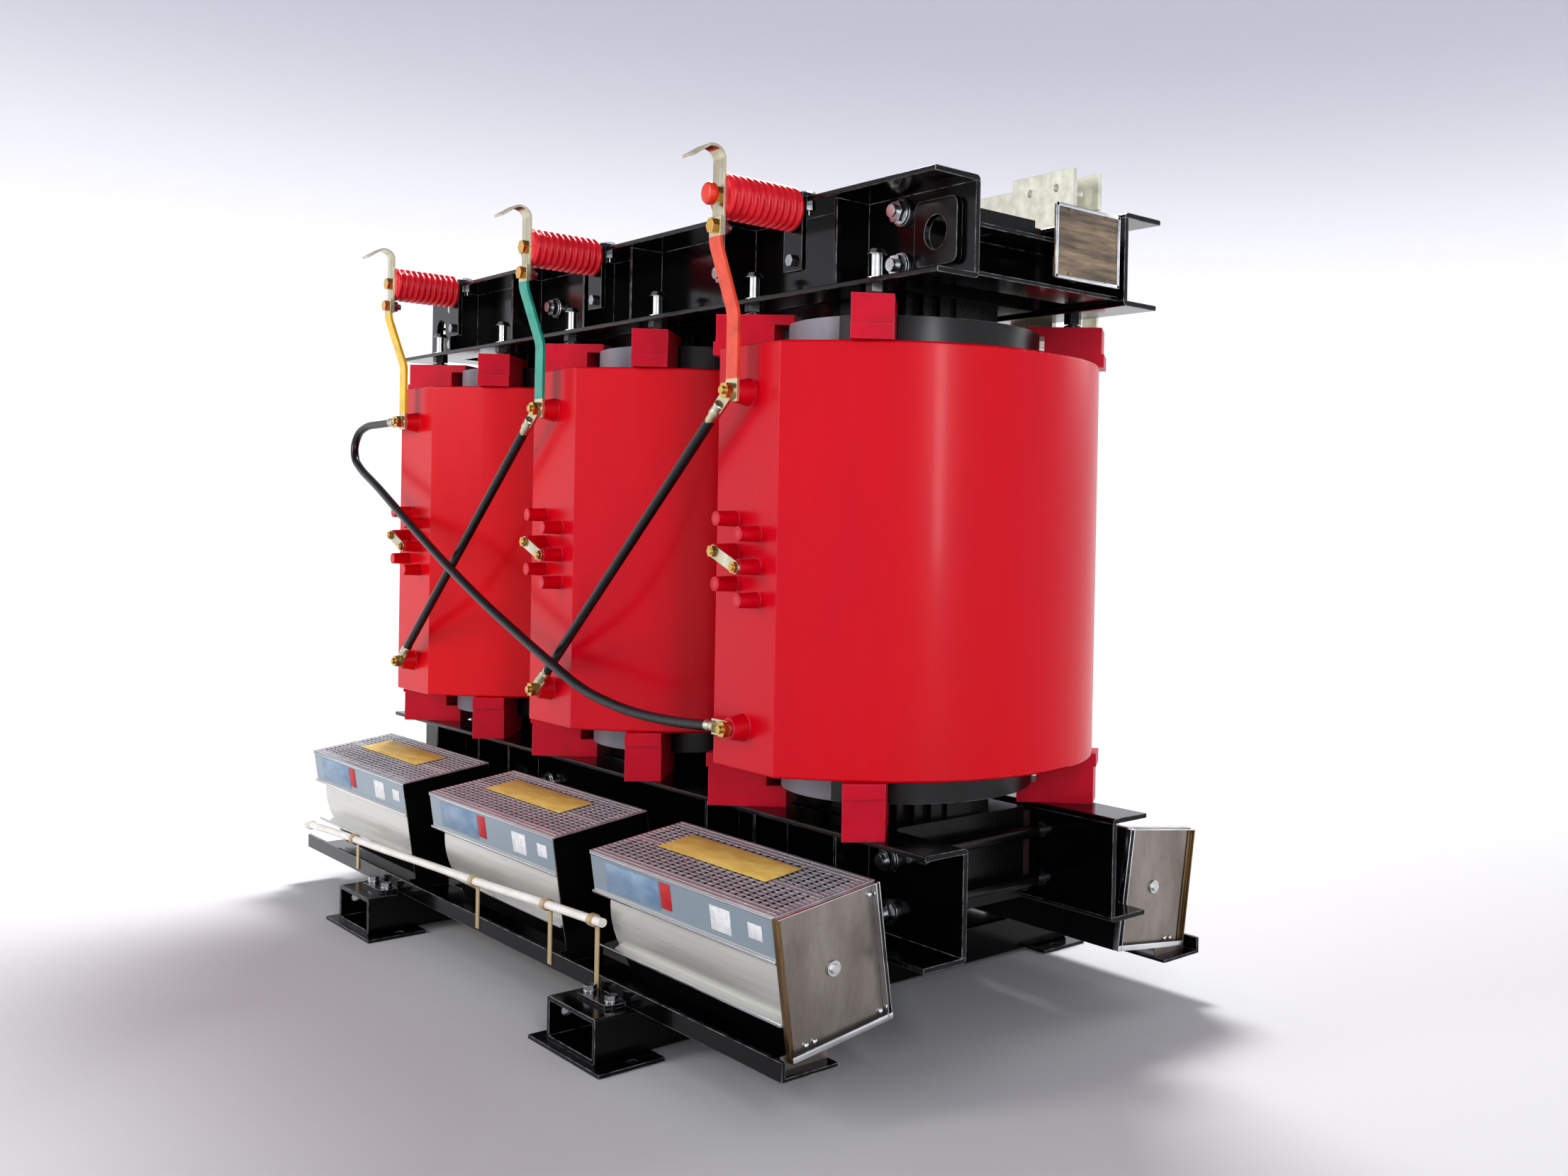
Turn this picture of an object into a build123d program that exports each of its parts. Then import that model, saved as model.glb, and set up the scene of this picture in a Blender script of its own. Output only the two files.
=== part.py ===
from build123d import *
from math import acos, atan2, cos, degrees, hypot, pi, radians, sin, tan
import os

# Three-phase cast-resin dry-type transformer with cross-flow cooling fans.
# Millimetres.  X runs along the row of coils (phase A at -X, phase C at +X),
# -Y is the high-voltage front, +Y the low-voltage rear, Z is up.
# The origin is on the floor, in the middle of the footprint.

# ---------------------------------------------------------------- coils
coil_pitch = 634.0
hv_bottom = 434.0
hv_height = 640.0
hv_outer_r = 305.0
hv_inner_r = 232.0
hv_flat_half = 81.0
hv_flat_out = hv_outer_r + 10.0
lv_outer_r = 205.0
lv_inner_r = 150.0
lv_overhang = 50.0

# ---------------------------------------------------------------- core
limb_r = 135.0
limb_steps = 7
yoke_height = 150.0
yoke_half_length = coil_pitch + 143.0
yoke_half_depth = 132.0

# ---------------------------------------------------------------- clamps
plate_t = 8.0
web_inner = 151.0
clamp_half_length = coil_pitch + 328.0
lower_clamp_bottom = 186.0
lower_clamp_top = 350.0
upper_clamp_bottom = hv_bottom + hv_height + 85.0
upper_clamp_top = upper_clamp_bottom + 146.0
lower_flange_out = 229.0
upper_flange_low_out = 227.0
upper_flange_top_out = 234.0
rib_t = 6.0
tie_rod_r = 10.0
tie_rod_x = coil_pitch + 166.0
tie_rod_spread = 80.0
hole_clearance = 1.0
nut_grip = 0.05

# ---------------------------------------------------------------- feet
foot_x = coil_pitch - 183.0
foot_half_length = 500.0
foot_width = 153.0
foot_top = 74.0
foot_wall = 7.0
foot_plate_t = 6.0
foot_plate_width = 228.0
foot_plate_length = 105.0
anchor_hole_d = 14.0
anchor_edge = 22.0
pedestal_width = 120.0
side_hole_d = 16.0
side_hole_back = 40.0
side_hole_z = 46.0

# ---------------------------------------------------------------- pads
pad_angle = 50.0
pad_turn = 40.0
pad_width = 62.0
pad_overhang = 11.0
pad_lv_bearing = 21.0
pad_lip_t = 4.0
pad_lip_height = 22.0
upper_pad_top = upper_clamp_bottom - 19.0
jack_r = 8.0
jack_head_top = upper_clamp_bottom + 53.0

# ---------------------------------------------------------------- fans
fan_length = 510.0
fan_depth = 164.0
fan_height = 202.0
fan_tilt = 8.0
fan_base_y = 315.0
fan_base_z = foot_top + 23.5
fan_sheet = 2.5
impeller_r = 50.0
impeller_rise = 104.0
impeller_blades = 20
shaft_r = 4.0
running_fit = 0.06
motor_bay = 50.0
rail_half_length = coil_pitch + 281.0
rail_out = 425.0
rail_in = 335.0
rail_t = 5.0
rail_lip = 27.0
ear_reach = 32.0
ear_half_width = 52.0
ear_t = 6.0
ear_bolt_out = 15.0
ear_bolt_dx = 34.0

# ---------------------------------------------------------------- terminals
insulator_root = 242.0
insulator_length = 126.0
insulator_z = upper_clamp_top - 20.0
insulator_r = 34.0
insulator_core_r = 27.0
insulator_ribs = 11
bar_w = 30.0
hook_t = 4.0
link_t = 5.0
terminal_drop = 73.0
boss_out = hv_flat_out + 25.0
boss_root_r = 22.0
boss_tip_r = 16.0
stud_r = 6.0
tap_out = hv_flat_out + 34.0
tap_stud_r = 5.0
tap_half_pitch = 30.0
tap_step = 49.0
tap_stagger = 22.0
lug_t = 4.0
lug_w = 24.0
rod_r = 8.0

# ---------------------------------------------------------------- derived
hv_top = hv_bottom + hv_height
lv_bottom = hv_bottom - lv_overhang
lv_top = hv_top + lv_overhang
web_outer = web_inner + plate_t
lower_yoke_top = lower_clamp_top - 4.0
lower_yoke_bottom = lower_yoke_top - yoke_height
upper_yoke_bottom = upper_clamp_bottom + 4.0
upper_yoke_top = upper_yoke_bottom + yoke_height
coil_x = {"a": -coil_pitch, "b": 0.0, "c": coil_pitch}
jack_radius = 261.0
jack_dx = jack_radius * cos(radians(pad_angle)) - 6.0
jack_dy = jack_radius * sin(radians(pad_angle)) + 5.0
upper_rod_z = (upper_clamp_bottom + upper_clamp_top) / 2
lower_rod_z = (lower_clamp_bottom + lower_clamp_top) / 2
insulator_tip = insulator_root + insulator_length
top_terminal_z = hv_top - terminal_drop
bottom_terminal_z = hv_bottom + terminal_drop - 7.0
tap_mid_z = hv_bottom + 0.5 * hv_height - 2.0
lift_x = coil_pitch + 251.0
lift_z = (upper_clamp_bottom + upper_clamp_top) / 2
earth_x = coil_pitch + 246.0
earth_z = lower_clamp_top - 24.0

os.makedirs("parts", exist_ok=True)


def save(name, part):
    """Label one node and write it as a STEP file."""
    part.label = name
    export_step(part, "parts/" + name + ".step")


def block(x0, x1, y0, y1, z0, z1, mode=Mode.ADD):
    """Axis-aligned box between two corners, added to the open part."""
    with Locations(((x0 + x1) / 2, (y0 + y1) / 2, (z0 + z1) / 2)):
        Box(abs(x1 - x0), abs(y1 - y0), abs(z1 - z0), mode=mode)


def rod_y(x, z, r, y0, y1, mode=Mode.ADD):
    """Cylinder along Y between two stations."""
    with Locations((x, (y0 + y1) / 2, z)):
        Cylinder(r, abs(y1 - y0), rotation=(90, 0, 0), mode=mode)


def rod_z(x, y, r, z0, z1, mode=Mode.ADD):
    """Cylinder along Z between two levels."""
    with Locations((x, y, (z0 + z1) / 2)):
        Cylinder(r, abs(z1 - z0), mode=mode)


def hex_y(x, z, across, y0, y1, mode=Mode.ADD):
    """Hexagonal prism along Y between two stations."""
    low = min(y0, y1)
    with BuildSketch(Plane(origin=(x, low, z), x_dir=(1, 0, 0), z_dir=(0, 1, 0))) as hexagon:
        RegularPolygon(across / 2, 6, major_radius=False)
    extrude(hexagon.sketch, amount=abs(y1 - y0), mode=mode)


def hex_z(x, y, across, z0, z1, mode=Mode.ADD):
    """Hexagonal prism along Z between two levels."""
    with BuildSketch(Plane.XY.offset(z0)) as hexagon:
        with Locations((x, y)):
            RegularPolygon(across / 2, 6, major_radius=False)
    extrude(hexagon.sketch, amount=z1 - z0, mode=mode)


def nut_y(x, z, across, bore, y0, y1):
    """Separate hexagon nut along Y with its bore."""
    with BuildPart() as nut:
        hex_y(x, z, across, y0, y1)
        rod_y(x, z, bore, min(y0, y1) - 1, max(y0, y1) + 1, Mode.SUBTRACT)
    return nut.part


def arc_radii(points):
    """Largest tangent arcs for the corners of an open route."""
    vectors = [Vector(*p) for p in points]
    radii = []
    for before, here, after in zip(vectors, vectors[1:], vectors[2:]):
        run_in = here - before
        run_out = after - here
        turn = radians(run_in.get_angle(run_out))
        radii.append(0.45 * min(run_in.length, run_out.length) / tan(turn / 2))
    return radii


def round_route(points, radius, name):
    """Round rod or tube swept along straight runs joined by tangent arcs."""
    radii = arc_radii(points)
    print(name, "bend radii", [round(r) for r in radii])
    with BuildPart() as rod:
        with BuildLine() as route:
            FilletPolyline(*points, radius=radii)
        with BuildSketch(Plane(origin=route.line @ 0, z_dir=route.line % 0)):
            Circle(radius)
        sweep(path=route.line)
    route_length = sum(edge.length for edge in route.line.edges())
    ideal = pi * radius ** 2 * route_length
    print(name, "volume over section times length", round(rod.part.volume / ideal, 4))
    return rod.part


# ================================================================= core
for key, x in coil_x.items():
    with BuildPart() as core_limb:
        with BuildSketch(Plane.XY.offset(lower_yoke_top)):
            with Locations((x, 0)):
                for step in range(limb_steps):
                    angle = radians(11 + step * 68 / (limb_steps - 1))
                    Rectangle(2 * limb_r * cos(angle), 2 * limb_r * sin(angle))
        extrude(amount=upper_yoke_bottom - lower_yoke_top)
    save("core_limb_" + key, core_limb.part)

yoke_levels = {
    "lower": (lower_yoke_bottom, lower_yoke_top, lower_rod_z),
    "upper": (upper_yoke_bottom, upper_yoke_top, upper_rod_z),
}
for key, (z0, z1, rod_level) in yoke_levels.items():
    with BuildPart() as core_yoke:
        block(-yoke_half_length, yoke_half_length, -yoke_half_depth, yoke_half_depth, z0, z1)
        for x in (-coil_pitch / 2, coil_pitch / 2):
            rod_y(x, rod_level, tie_rod_r + 2, -yoke_half_depth - 1, yoke_half_depth + 1, Mode.SUBTRACT)
    save("core_yoke_" + key, core_yoke.part)

with BuildPart() as yoke_insulation:
    for z0, z1, rod_level in yoke_levels.values():
        for side in (-1, 1):
            block(-yoke_half_length + 6, yoke_half_length - 6, side * yoke_half_depth, side * web_inner, z0 + 6, z1 - 10)
            for x in (-coil_pitch / 2, coil_pitch / 2):
                rod_y(x, rod_level, tie_rod_r + 2, side * (yoke_half_depth - 1), side * (web_inner + 1), Mode.SUBTRACT)
save("yoke_insulation", yoke_insulation.part)


# ================================================================= clamps
def clamp_flange(side, low, high, out, bend_low, holes=()):
    """Flange plate of a clamp, turned outwards, with the bend on its web edge."""
    with BuildPart() as flange:
        block(-clamp_half_length, clamp_half_length, side * web_inner, side * out, low, high)
        bend_z = low if bend_low else high
        bend = flange.edges().filter_by(Axis.X).filter_by_position(Axis.Z, bend_z - 0.1, bend_z + 0.1)
        fillet(bend.sort_by(Axis.Y)[0 if side > 0 else -1], plate_t - 0.5)
        tip = flange.edges().filter_by(Axis.X).sort_by(Axis.Y)[-2:] if side > 0 else flange.edges().filter_by(Axis.X).sort_by(Axis.Y)[:2]
        fillet(tip, 2)
        for x, y, r in holes:
            rod_z(x, y, r, low - 1, high + 1, Mode.SUBTRACT)
    return flange.part


def clamp_ribs(side, z0, z1, reach, stations):
    """Stiffening ribs that fill the channel section between its flanges."""
    ribs = []
    for x in stations:
        with BuildPart() as rib:
            block(x - rib_t / 2, x + rib_t / 2, side * web_outer, side * reach, z0 + plate_t, z1 - plate_t)
        ribs.append(rib.part)
    return ribs


def rod_stations(level):
    """Places of the through rods: one in each bay, two past each yoke end."""
    bays = [(-coil_pitch / 2, level), (coil_pitch / 2, level)]
    ends = [(sx * tie_rod_x, level + sz * tie_rod_spread / 2) for sx in (-1, 1) for sz in (-1, 1)]
    return bays + ends


jack_places = [
    (x + sx * jack_dx, sy * jack_dy)
    for x in coil_x.values() for sx in (-1, 1) for sy in (-1, 1)
]
upper_ribs = [sx * x for sx in (-1, 1) for x in (90.0, coil_pitch - 234.0, coil_pitch + 78.0)]
lower_ribs = [sx * x for sx in (-1, 1) for x in (foot_x - 72, foot_x + 72, coil_pitch + 106.0)]
bracket_bolt_y = upper_flange_top_out - 20
bracket_bolt_z = upper_clamp_bottom + 49.0

for key, side in (("front", -1), ("rear", 1)):
    with BuildPart() as upper_web:
        block(-clamp_half_length, clamp_half_length, side * web_inner, side * web_outer, upper_clamp_bottom + plate_t, upper_clamp_top - plate_t)
        for x, z in rod_stations(upper_rod_z):
            rod_y(x, z, tie_rod_r + hole_clearance, side * (web_inner - 1), side * (web_outer + 1), Mode.SUBTRACT)
        for sx in (-1, 1):
            rod_y(sx * lift_x, lift_z, 34, side * (web_inner - 1), side * (web_outer + 1), Mode.SUBTRACT)
    jack_holes = [(x, y, jack_r + hole_clearance) for x, y in jack_places if y * side > 0]
    bracket_x = (-coil_pitch, 0, coil_pitch) if side < 0 else (-coil_pitch / 2, coil_pitch / 2)
    bracket_holes = [(x, side * bracket_bolt_y, 5 + hole_clearance) for x in bracket_x]
    plates = [
        upper_web.part,
        clamp_flange(side, upper_clamp_bottom, upper_clamp_bottom + plate_t, upper_flange_low_out, True, jack_holes),
        clamp_flange(side, upper_clamp_top - plate_t, upper_clamp_top, upper_flange_top_out, False, bracket_holes),
    ]
    plates += clamp_ribs(side, upper_clamp_bottom, upper_clamp_top, upper_flange_low_out - 8, upper_ribs)
    save("upper_clamp_" + key, Compound(children=plates))

    with BuildPart() as lower_web:
        block(-clamp_half_length, clamp_half_length, side * web_inner, side * web_outer, lower_clamp_bottom + plate_t, lower_clamp_top - plate_t)
        for x, z in rod_stations(lower_rod_z):
            rod_y(x, z, tie_rod_r + hole_clearance, side * (web_inner - 1), side * (web_outer + 1), Mode.SUBTRACT)
        if side < 0:
            rod_y(earth_x, earth_z, 6 + hole_clearance, side * (web_inner - 1), side * (web_outer + 1), Mode.SUBTRACT)
    foot_holes = [(sx * foot_x + dx, side * 196, 8 + hole_clearance) for sx in (-1, 1) for dx in (-36, 36)]
    plates = [
        lower_web.part,
        clamp_flange(side, lower_clamp_bottom, lower_clamp_bottom + plate_t, lower_flange_out, True, foot_holes),
        clamp_flange(side, lower_clamp_top - plate_t, lower_clamp_top, lower_flange_out, False),
    ]
    plates += clamp_ribs(side, lower_clamp_bottom, lower_clamp_top, lower_flange_out - 8, lower_ribs)
    save("lower_clamp_" + key, Compound(children=plates))

end_tie_in = coil_pitch + 224.0
end_tie_out = coil_pitch + 314.0
end_tie_top = upper_clamp_bottom + 84.0
with BuildPart() as upper_end_ties:
    for sx in (-1, 1):
        points = [
            (sx * end_tie_in, upper_clamp_bottom + 8),
            (sx * end_tie_out, upper_clamp_bottom + 8),
            (sx * end_tie_out, upper_clamp_bottom + 14),
            (sx * (end_tie_in + 6), upper_clamp_bottom + 14),
            (sx * (end_tie_in + 6), end_tie_top - 6),
            (sx * end_tie_out, end_tie_top - 6),
            (sx * end_tie_out, end_tie_top),
            (sx * end_tie_in, end_tie_top),
        ]
        with BuildSketch(Plane.XZ.offset(-web_inner)):
            with BuildLine():
                Polyline(*points, close=True)
            make_face()
        extrude(amount=2 * web_inner)
        rod_y(sx * lift_x, lift_z, 34, -web_inner - 1, -web_inner + 60, Mode.SUBTRACT)
        rod_y(sx * lift_x, lift_z, 34, web_inner + 1, web_inner - 60, Mode.SUBTRACT)
save("upper_end_ties", upper_end_ties.part)

nut_t = 14.0
washer_t = 4.0
nut_parts = []
with BuildPart() as rods_only:
    for level in (upper_rod_z, lower_rod_z):
        for x, z in rod_stations(level):
            rod_y(x, z, tie_rod_r, -(web_outer + washer_t + nut_t + 8), web_outer + washer_t + nut_t + 8)
for level in (upper_rod_z, lower_rod_z):
    for x, z in rod_stations(level):
        for side in (-1, 1):
            with BuildPart() as washer_nut:
                rod_y(x, z, 20, side * web_outer, side * (web_outer + washer_t))
                hex_y(x, z, 30, side * (web_outer + washer_t), side * (web_outer + washer_t + nut_t))
                rod_y(x, z, tie_rod_r + nut_grip, side * (web_outer - 1), side * (web_outer + washer_t + nut_t + 1), Mode.SUBTRACT)
            nut_parts.append(washer_nut.part)
with BuildPart() as tie_rods:
    add(rods_only.part)
    for nut in nut_parts:
        add(nut)
save("tie_rods", tie_rods.part)

# ================================================================= feet
for key, sx in (("left", -1), ("right", 1)):
    with BuildPart() as foot:
        x0 = sx * foot_x - foot_width / 2
        x1 = sx * foot_x + foot_width / 2
        block(x0, x1, -foot_half_length + 12, foot_half_length - 12, foot_plate_t, foot_top)
        fillet(foot.edges().filter_by(Axis.Y), 5)
        block(x0 + foot_wall, x1 - foot_wall, -foot_half_length, foot_half_length, foot_plate_t + foot_wall, foot_top - foot_wall, Mode.SUBTRACT)
        for side in (-1, 1):
            px0 = sx * foot_x - pedestal_width / 2
            px1 = sx * foot_x + pedestal_width / 2
            block(px0, px1, side * (web_inner + 4), side * lower_flange_out, foot_top - 1, lower_clamp_bottom)
            block(px0 + 8, px1 - 8, side * (web_inner + 12), side * (lower_flange_out + 5), foot_top, lower_clamp_bottom - 10, Mode.SUBTRACT)
            for dx in (-36, 36):
                rod_z(sx * foot_x + dx, side * 196, 8 + hole_clearance, lower_clamp_bottom - 12, lower_clamp_bottom + 1, Mode.SUBTRACT)
            for dx in (-ear_bolt_dx, ear_bolt_dx):
                rod_z(sx * foot_x + dx, side * (rail_out + ear_bolt_out), 5 + hole_clearance, foot_top - foot_wall - 1, foot_top + 1, Mode.SUBTRACT)
            with Locations((x0, side * (foot_half_length - side_hole_back), side_hole_z)):
                Cylinder(side_hole_d / 2, 2 * foot_wall + 4, rotation=(0, 90, 0), mode=Mode.SUBTRACT)
    save("foot_" + key, foot.part)

with BuildPart() as foot_plates:
    for sx in (-1, 1):
        for side in (-1, 1):
            tip = side * foot_half_length
            block(sx * foot_x - foot_plate_width / 2, sx * foot_x + foot_plate_width / 2, tip, tip - side * foot_plate_length, 0, foot_plate_t)
            for dx in (-1, 1):
                hole_x = sx * foot_x + dx * (foot_plate_width / 2 - anchor_edge + 4)
                rod_z(hole_x, tip - side * 62, anchor_hole_d / 2, -1, foot_plate_t + 1, Mode.SUBTRACT)
save("foot_plates", foot_plates.part)

with BuildPart() as frame_bolts:
    for sx in (-1, 1):
        for dx in (-36, 36):
            for side in (-1, 1):
                x = sx * foot_x + dx
                hex_z(x, side * 196, 24, lower_clamp_bottom + plate_t, lower_clamp_bottom + plate_t + 10)
                rod_z(x, side * 196, 8, lower_clamp_bottom - 26, lower_clamp_bottom + plate_t + 1)
                hex_z(x, side * 196, 24, lower_clamp_bottom - 23, lower_clamp_bottom - 10)
    for sx in (-1, 1):
        for dx in (-ear_bolt_dx, ear_bolt_dx):
            for side in (-1, 1):
                x = sx * foot_x + dx
                y = side * (rail_out + ear_bolt_out)
                rod_z(x, y, 5, foot_top - foot_wall - 12, foot_top + ear_t + 1)
                rod_z(x, y, 10, foot_top + ear_t, foot_top + ear_t + 2.5)
                hex_z(x, y, 17, foot_top + ear_t + 2.5, foot_top + ear_t + 10)
                hex_z(x, y, 17, foot_top - foot_wall - 8, foot_top - foot_wall)
    rod_y(earth_x, earth_z, 6, -(web_inner - 14), -(web_outer + 34))
    rod_y(earth_x, earth_z, 13, -web_outer, -(web_outer + 4))
    hex_y(earth_x, earth_z, 19, -(web_outer + 4), -(web_outer + 13))
    hex_y(earth_x, earth_z, 19, -(web_inner - 10), -web_inner)
save("frame_bolts", frame_bolts.part)

# ================================================================= coils
for key, x in coil_x.items():
    with BuildPart() as lv_coil:
        with BuildSketch(Plane.XY.offset(lv_bottom)):
            with Locations((x, 0)):
                Circle(lv_outer_r)
                Circle(lv_inner_r, mode=Mode.SUBTRACT)
        extrude(amount=lv_top - lv_bottom)
    save("lv_coil_" + key, lv_coil.part)

reach = hypot(hv_flat_half, hv_flat_out)
tangent = atan2(-hv_flat_out, hv_flat_half) + acos(hv_outer_r / reach)
tangent_x = hv_outer_r * cos(tangent)
tangent_y = hv_outer_r * sin(tangent)
tap_places = []
for row in range(3):
    rise = (1 - row) * tap_step
    tap_places.append((-tap_half_pitch, tap_mid_z + rise + tap_stagger / 2))
    tap_places.append((tap_half_pitch, tap_mid_z + rise - tap_stagger / 2))
for key, x in coil_x.items():
    with BuildPart() as hv_coil:
        with BuildSketch(Plane.XY.offset(hv_bottom)):
            with Locations((x, 0)):
                Circle(hv_outer_r)
            with BuildLine():
                Polyline(
                    (x - hv_flat_half, -hv_flat_out),
                    (x + hv_flat_half, -hv_flat_out),
                    (x + tangent_x, tangent_y),
                    (x, 0),
                    (x - tangent_x, tangent_y),
                    close=True,
                )
            make_face()
            with Locations((x, 0)):
                Circle(hv_inner_r, mode=Mode.SUBTRACT)
        extrude(amount=hv_height)
        rims = hv_coil.edges().filter_by(Plane.XY)
        fillet(rims, 4)
        for z in (top_terminal_z, bottom_terminal_z):
            length = boss_out - hv_flat_out + 4
            with Locations((x, -boss_out + length / 2, z)):
                Cone(boss_root_r, boss_tip_r, length, rotation=(90, 0, 0))
            rod_y(x, z, stud_r + nut_grip, -boss_out - 1, -boss_out + 20, Mode.SUBTRACT)
        for dx, z in tap_places:
            length = tap_out - hv_flat_out + 4
            with Locations((x + dx, -tap_out + length / 2, z)):
                Cone(12.5, 11, length, rotation=(90, 0, 0))
            rod_y(x + dx, z, tap_stud_r + nut_grip, -tap_out - 1, -tap_out + 16, Mode.SUBTRACT)
    save("hv_coil_" + key, hv_coil.part)

pad_outer_r = hv_outer_r + pad_overhang
pad_length = pad_outer_r - lv_outer_r + pad_lv_bearing
pad_step = pad_outer_r - (lv_outer_r + hv_inner_r) / 2 + 2


def pad_block(x, sx, sy, seat, lv_face, hv_face, up):
    """Stepped pad between a clamp flange and the ends of both windings, turned off the radius."""
    outer_x = x + sx * pad_outer_r * cos(radians(pad_angle))
    outer_y = sy * pad_outer_r * sin(radians(pad_angle))
    angle = atan2(sy * sin(radians(pad_turn)), sx * cos(radians(pad_turn)))
    plane = Plane(origin=(outer_x, outer_y, 0), x_dir=(cos(angle), sin(angle), 0), z_dir=(sin(angle), -cos(angle), 0))
    flip = 1 if abs((plane.y_dir - Vector(0, 0, 1)).length) < 0.01 else -1
    lip_z = hv_face - up * pad_lip_height
    points = [
        (-pad_length, seat * flip),
        (-pad_lip_t, seat * flip),
        (-pad_lip_t, lip_z * flip),
        (0, lip_z * flip),
        (0, hv_face * flip),
        (-pad_step, hv_face * flip),
        (-pad_step, lv_face * flip),
        (-pad_length, lv_face * flip),
    ]
    with BuildSketch(plane) as section:
        with BuildLine():
            Polyline(*points, close=True)
        make_face()
    extrude(section.sketch, amount=pad_width / 2, both=True)


for key, seat, lv_face, hv_face, up in (
    ("lower", lower_clamp_top, lv_bottom, hv_bottom, 1),
    ("upper", upper_pad_top, lv_top, hv_top, -1),
):
    with BuildPart() as coil_pads:
        for x in coil_x.values():
            for sx in (-1, 1):
                for sy in (-1, 1):
                    pad_block(x, sx, sy, seat, lv_face, hv_face, up)
    save("coil_pads_" + key, coil_pads.part)

with BuildPart() as jack_bolts:
    for x, y in jack_places:
        rod_z(x, y, 15, upper_pad_top, upper_pad_top + 5)
        rod_z(x, y, jack_r, upper_pad_top + 4, jack_head_top - 5)
        hex_z(x, y, 26, upper_clamp_bottom - 11, upper_clamp_bottom)
        rod_z(x, y, 14, upper_clamp_bottom + plate_t, upper_clamp_bottom + plate_t + 3)
        with Locations((x, y, jack_head_top - 4)):
            Cone(15, 10, 8)
save("jack_bolts", jack_bolts.part)

# ================================================================= high voltage
with BuildPart() as tap_links:
    for x in coil_x.values():
        ends = [(x + tap_places[2][0], tap_places[2][1]), (x + tap_places[3][0], tap_places[3][1])]
        middle_x = (ends[0][0] + ends[1][0]) / 2
        middle_z = (ends[0][1] + ends[1][1]) / 2
        run = hypot(ends[1][0] - ends[0][0], ends[1][1] - ends[0][1])
        slope = degrees(atan2(ends[1][1] - ends[0][1], ends[1][0] - ends[0][0]))
        link_plane = Plane(origin=(middle_x, -tap_out - lug_t, middle_z), x_dir=(1, 0, 0), z_dir=(0, 1, 0))
        with BuildSketch(link_plane):
            SlotCenterToCenter(run, 20, rotation=-slope)
        extrude(amount=lug_t)
        for hx, hz in ends:
            rod_y(hx, hz, tap_stud_r + nut_grip, -tap_out + 1, -tap_out - lug_t - 1, Mode.SUBTRACT)
save("tap_links", tap_links.part)

with BuildPart() as hv_studs:
    for x in coil_x.values():
        for z, stack in ((top_terminal_z, link_t + lug_t), (bottom_terminal_z, lug_t)):
            face = boss_out + stack
            rod_y(x, z, stud_r, -boss_out + 18, -face - 14)
            hex_y(x, z, 22, -face, -face - 9)
        for index, (dx, z) in enumerate(tap_places):
            if index in (2, 3):
                face = tap_out + lug_t
                rod_y(x + dx, z, tap_stud_r, -tap_out + 14, -face - 6.5)
                hex_y(x + dx, z, 16, -face, -face - 5)
            else:
                rod_y(x + dx, z, tap_stud_r, -tap_out + 14, -tap_out)
save("hv_studs", hv_studs.part)

for key, x in coil_x.items():
    pitch = insulator_length / insulator_ribs
    profile = [(0, 0), (insulator_core_r + 2, 0)]
    for rib in range(insulator_ribs):
        start = rib * pitch
        profile.append((insulator_core_r, -(start + 0.16 * pitch)))
        profile.append((insulator_r - 1.5, -(start + 0.30 * pitch)))
        profile.append((insulator_r, -(start + 0.50 * pitch)))
        profile.append((insulator_r - 1.5, -(start + 0.70 * pitch)))
        profile.append((insulator_core_r, -(start + 0.84 * pitch)))
    profile += [(insulator_core_r + 1, -insulator_length), (0, -insulator_length)]
    with BuildPart() as hv_insulator:
        with BuildSketch(Plane(origin=(x, -insulator_root, insulator_z), x_dir=(1, 0, 0), z_dir=(0, 0, 1))):
            with BuildLine():
                Polyline(*profile, close=True)
            make_face()
        revolve(axis=Axis((x, -insulator_root, insulator_z), (0, 1, 0)))
        rod_y(x, insulator_z, stud_r + nut_grip, -insulator_tip - 1, -insulator_tip + 24, Mode.SUBTRACT)
    save("hv_insulator_" + key, hv_insulator.part)

hook_y = -(insulator_tip + hook_t / 2)
lower_joint_z = insulator_z - insulator_r - 12
for key, x in coil_x.items():
    with BuildPart() as hv_terminal:
        with BuildLine(Plane.YZ.offset(x)) as hook_path:
            FilletPolyline(
                (hook_y, lower_joint_z - 14),
                (hook_y, insulator_z + 62),
                (hook_y - 20, insulator_z + 71),
                (hook_y - 52, insulator_z + 48),
                radius=[17, 17],
            )
        with BuildSketch(Plane(origin=hook_path.line @ 0, x_dir=(1, 0, 0), z_dir=(0, 0, 1))):
            Rectangle(bar_w, hook_t)
        sweep(path=hook_path.line)
        rod_y(x, insulator_z, stud_r + nut_grip, hook_y - 5, hook_y + 5, Mode.SUBTRACT)
        rod_y(x, lower_joint_z, stud_r + nut_grip, hook_y - 5, hook_y + 5, Mode.SUBTRACT)
    save("hv_terminal_" + key, hv_terminal.part)

link_top_y = -(insulator_tip + hook_t + link_t / 2)
link_low_y = -(boss_out + link_t / 2)
for key, x in coil_x.items():
    with BuildPart() as phase_link:
        with BuildLine(Plane.YZ.offset(x)) as link_path:
            FilletPolyline(
                (link_top_y, lower_joint_z + 14),
                (link_top_y, lower_joint_z - 24),
                (link_low_y, lower_joint_z - 122),
                (link_low_y, top_terminal_z - 16),
                radius=[60, 60],
            )
        with BuildSketch(Plane(origin=link_path.line @ 0, x_dir=(1, 0, 0), z_dir=(0, 0, -1))):
            Rectangle(bar_w, link_t)
        sweep(path=link_path.line)
        rod_y(x, lower_joint_z, stud_r + nut_grip, link_top_y - 5, link_top_y + 5, Mode.SUBTRACT)
        rod_y(x, top_terminal_z, stud_r + nut_grip, link_low_y - 5, link_low_y + 5, Mode.SUBTRACT)
    save("phase_link_" + key, phase_link.part)

top_lug_y = -(boss_out + link_t + lug_t / 2)
low_lug_y = -(boss_out + lug_t / 2)


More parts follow.
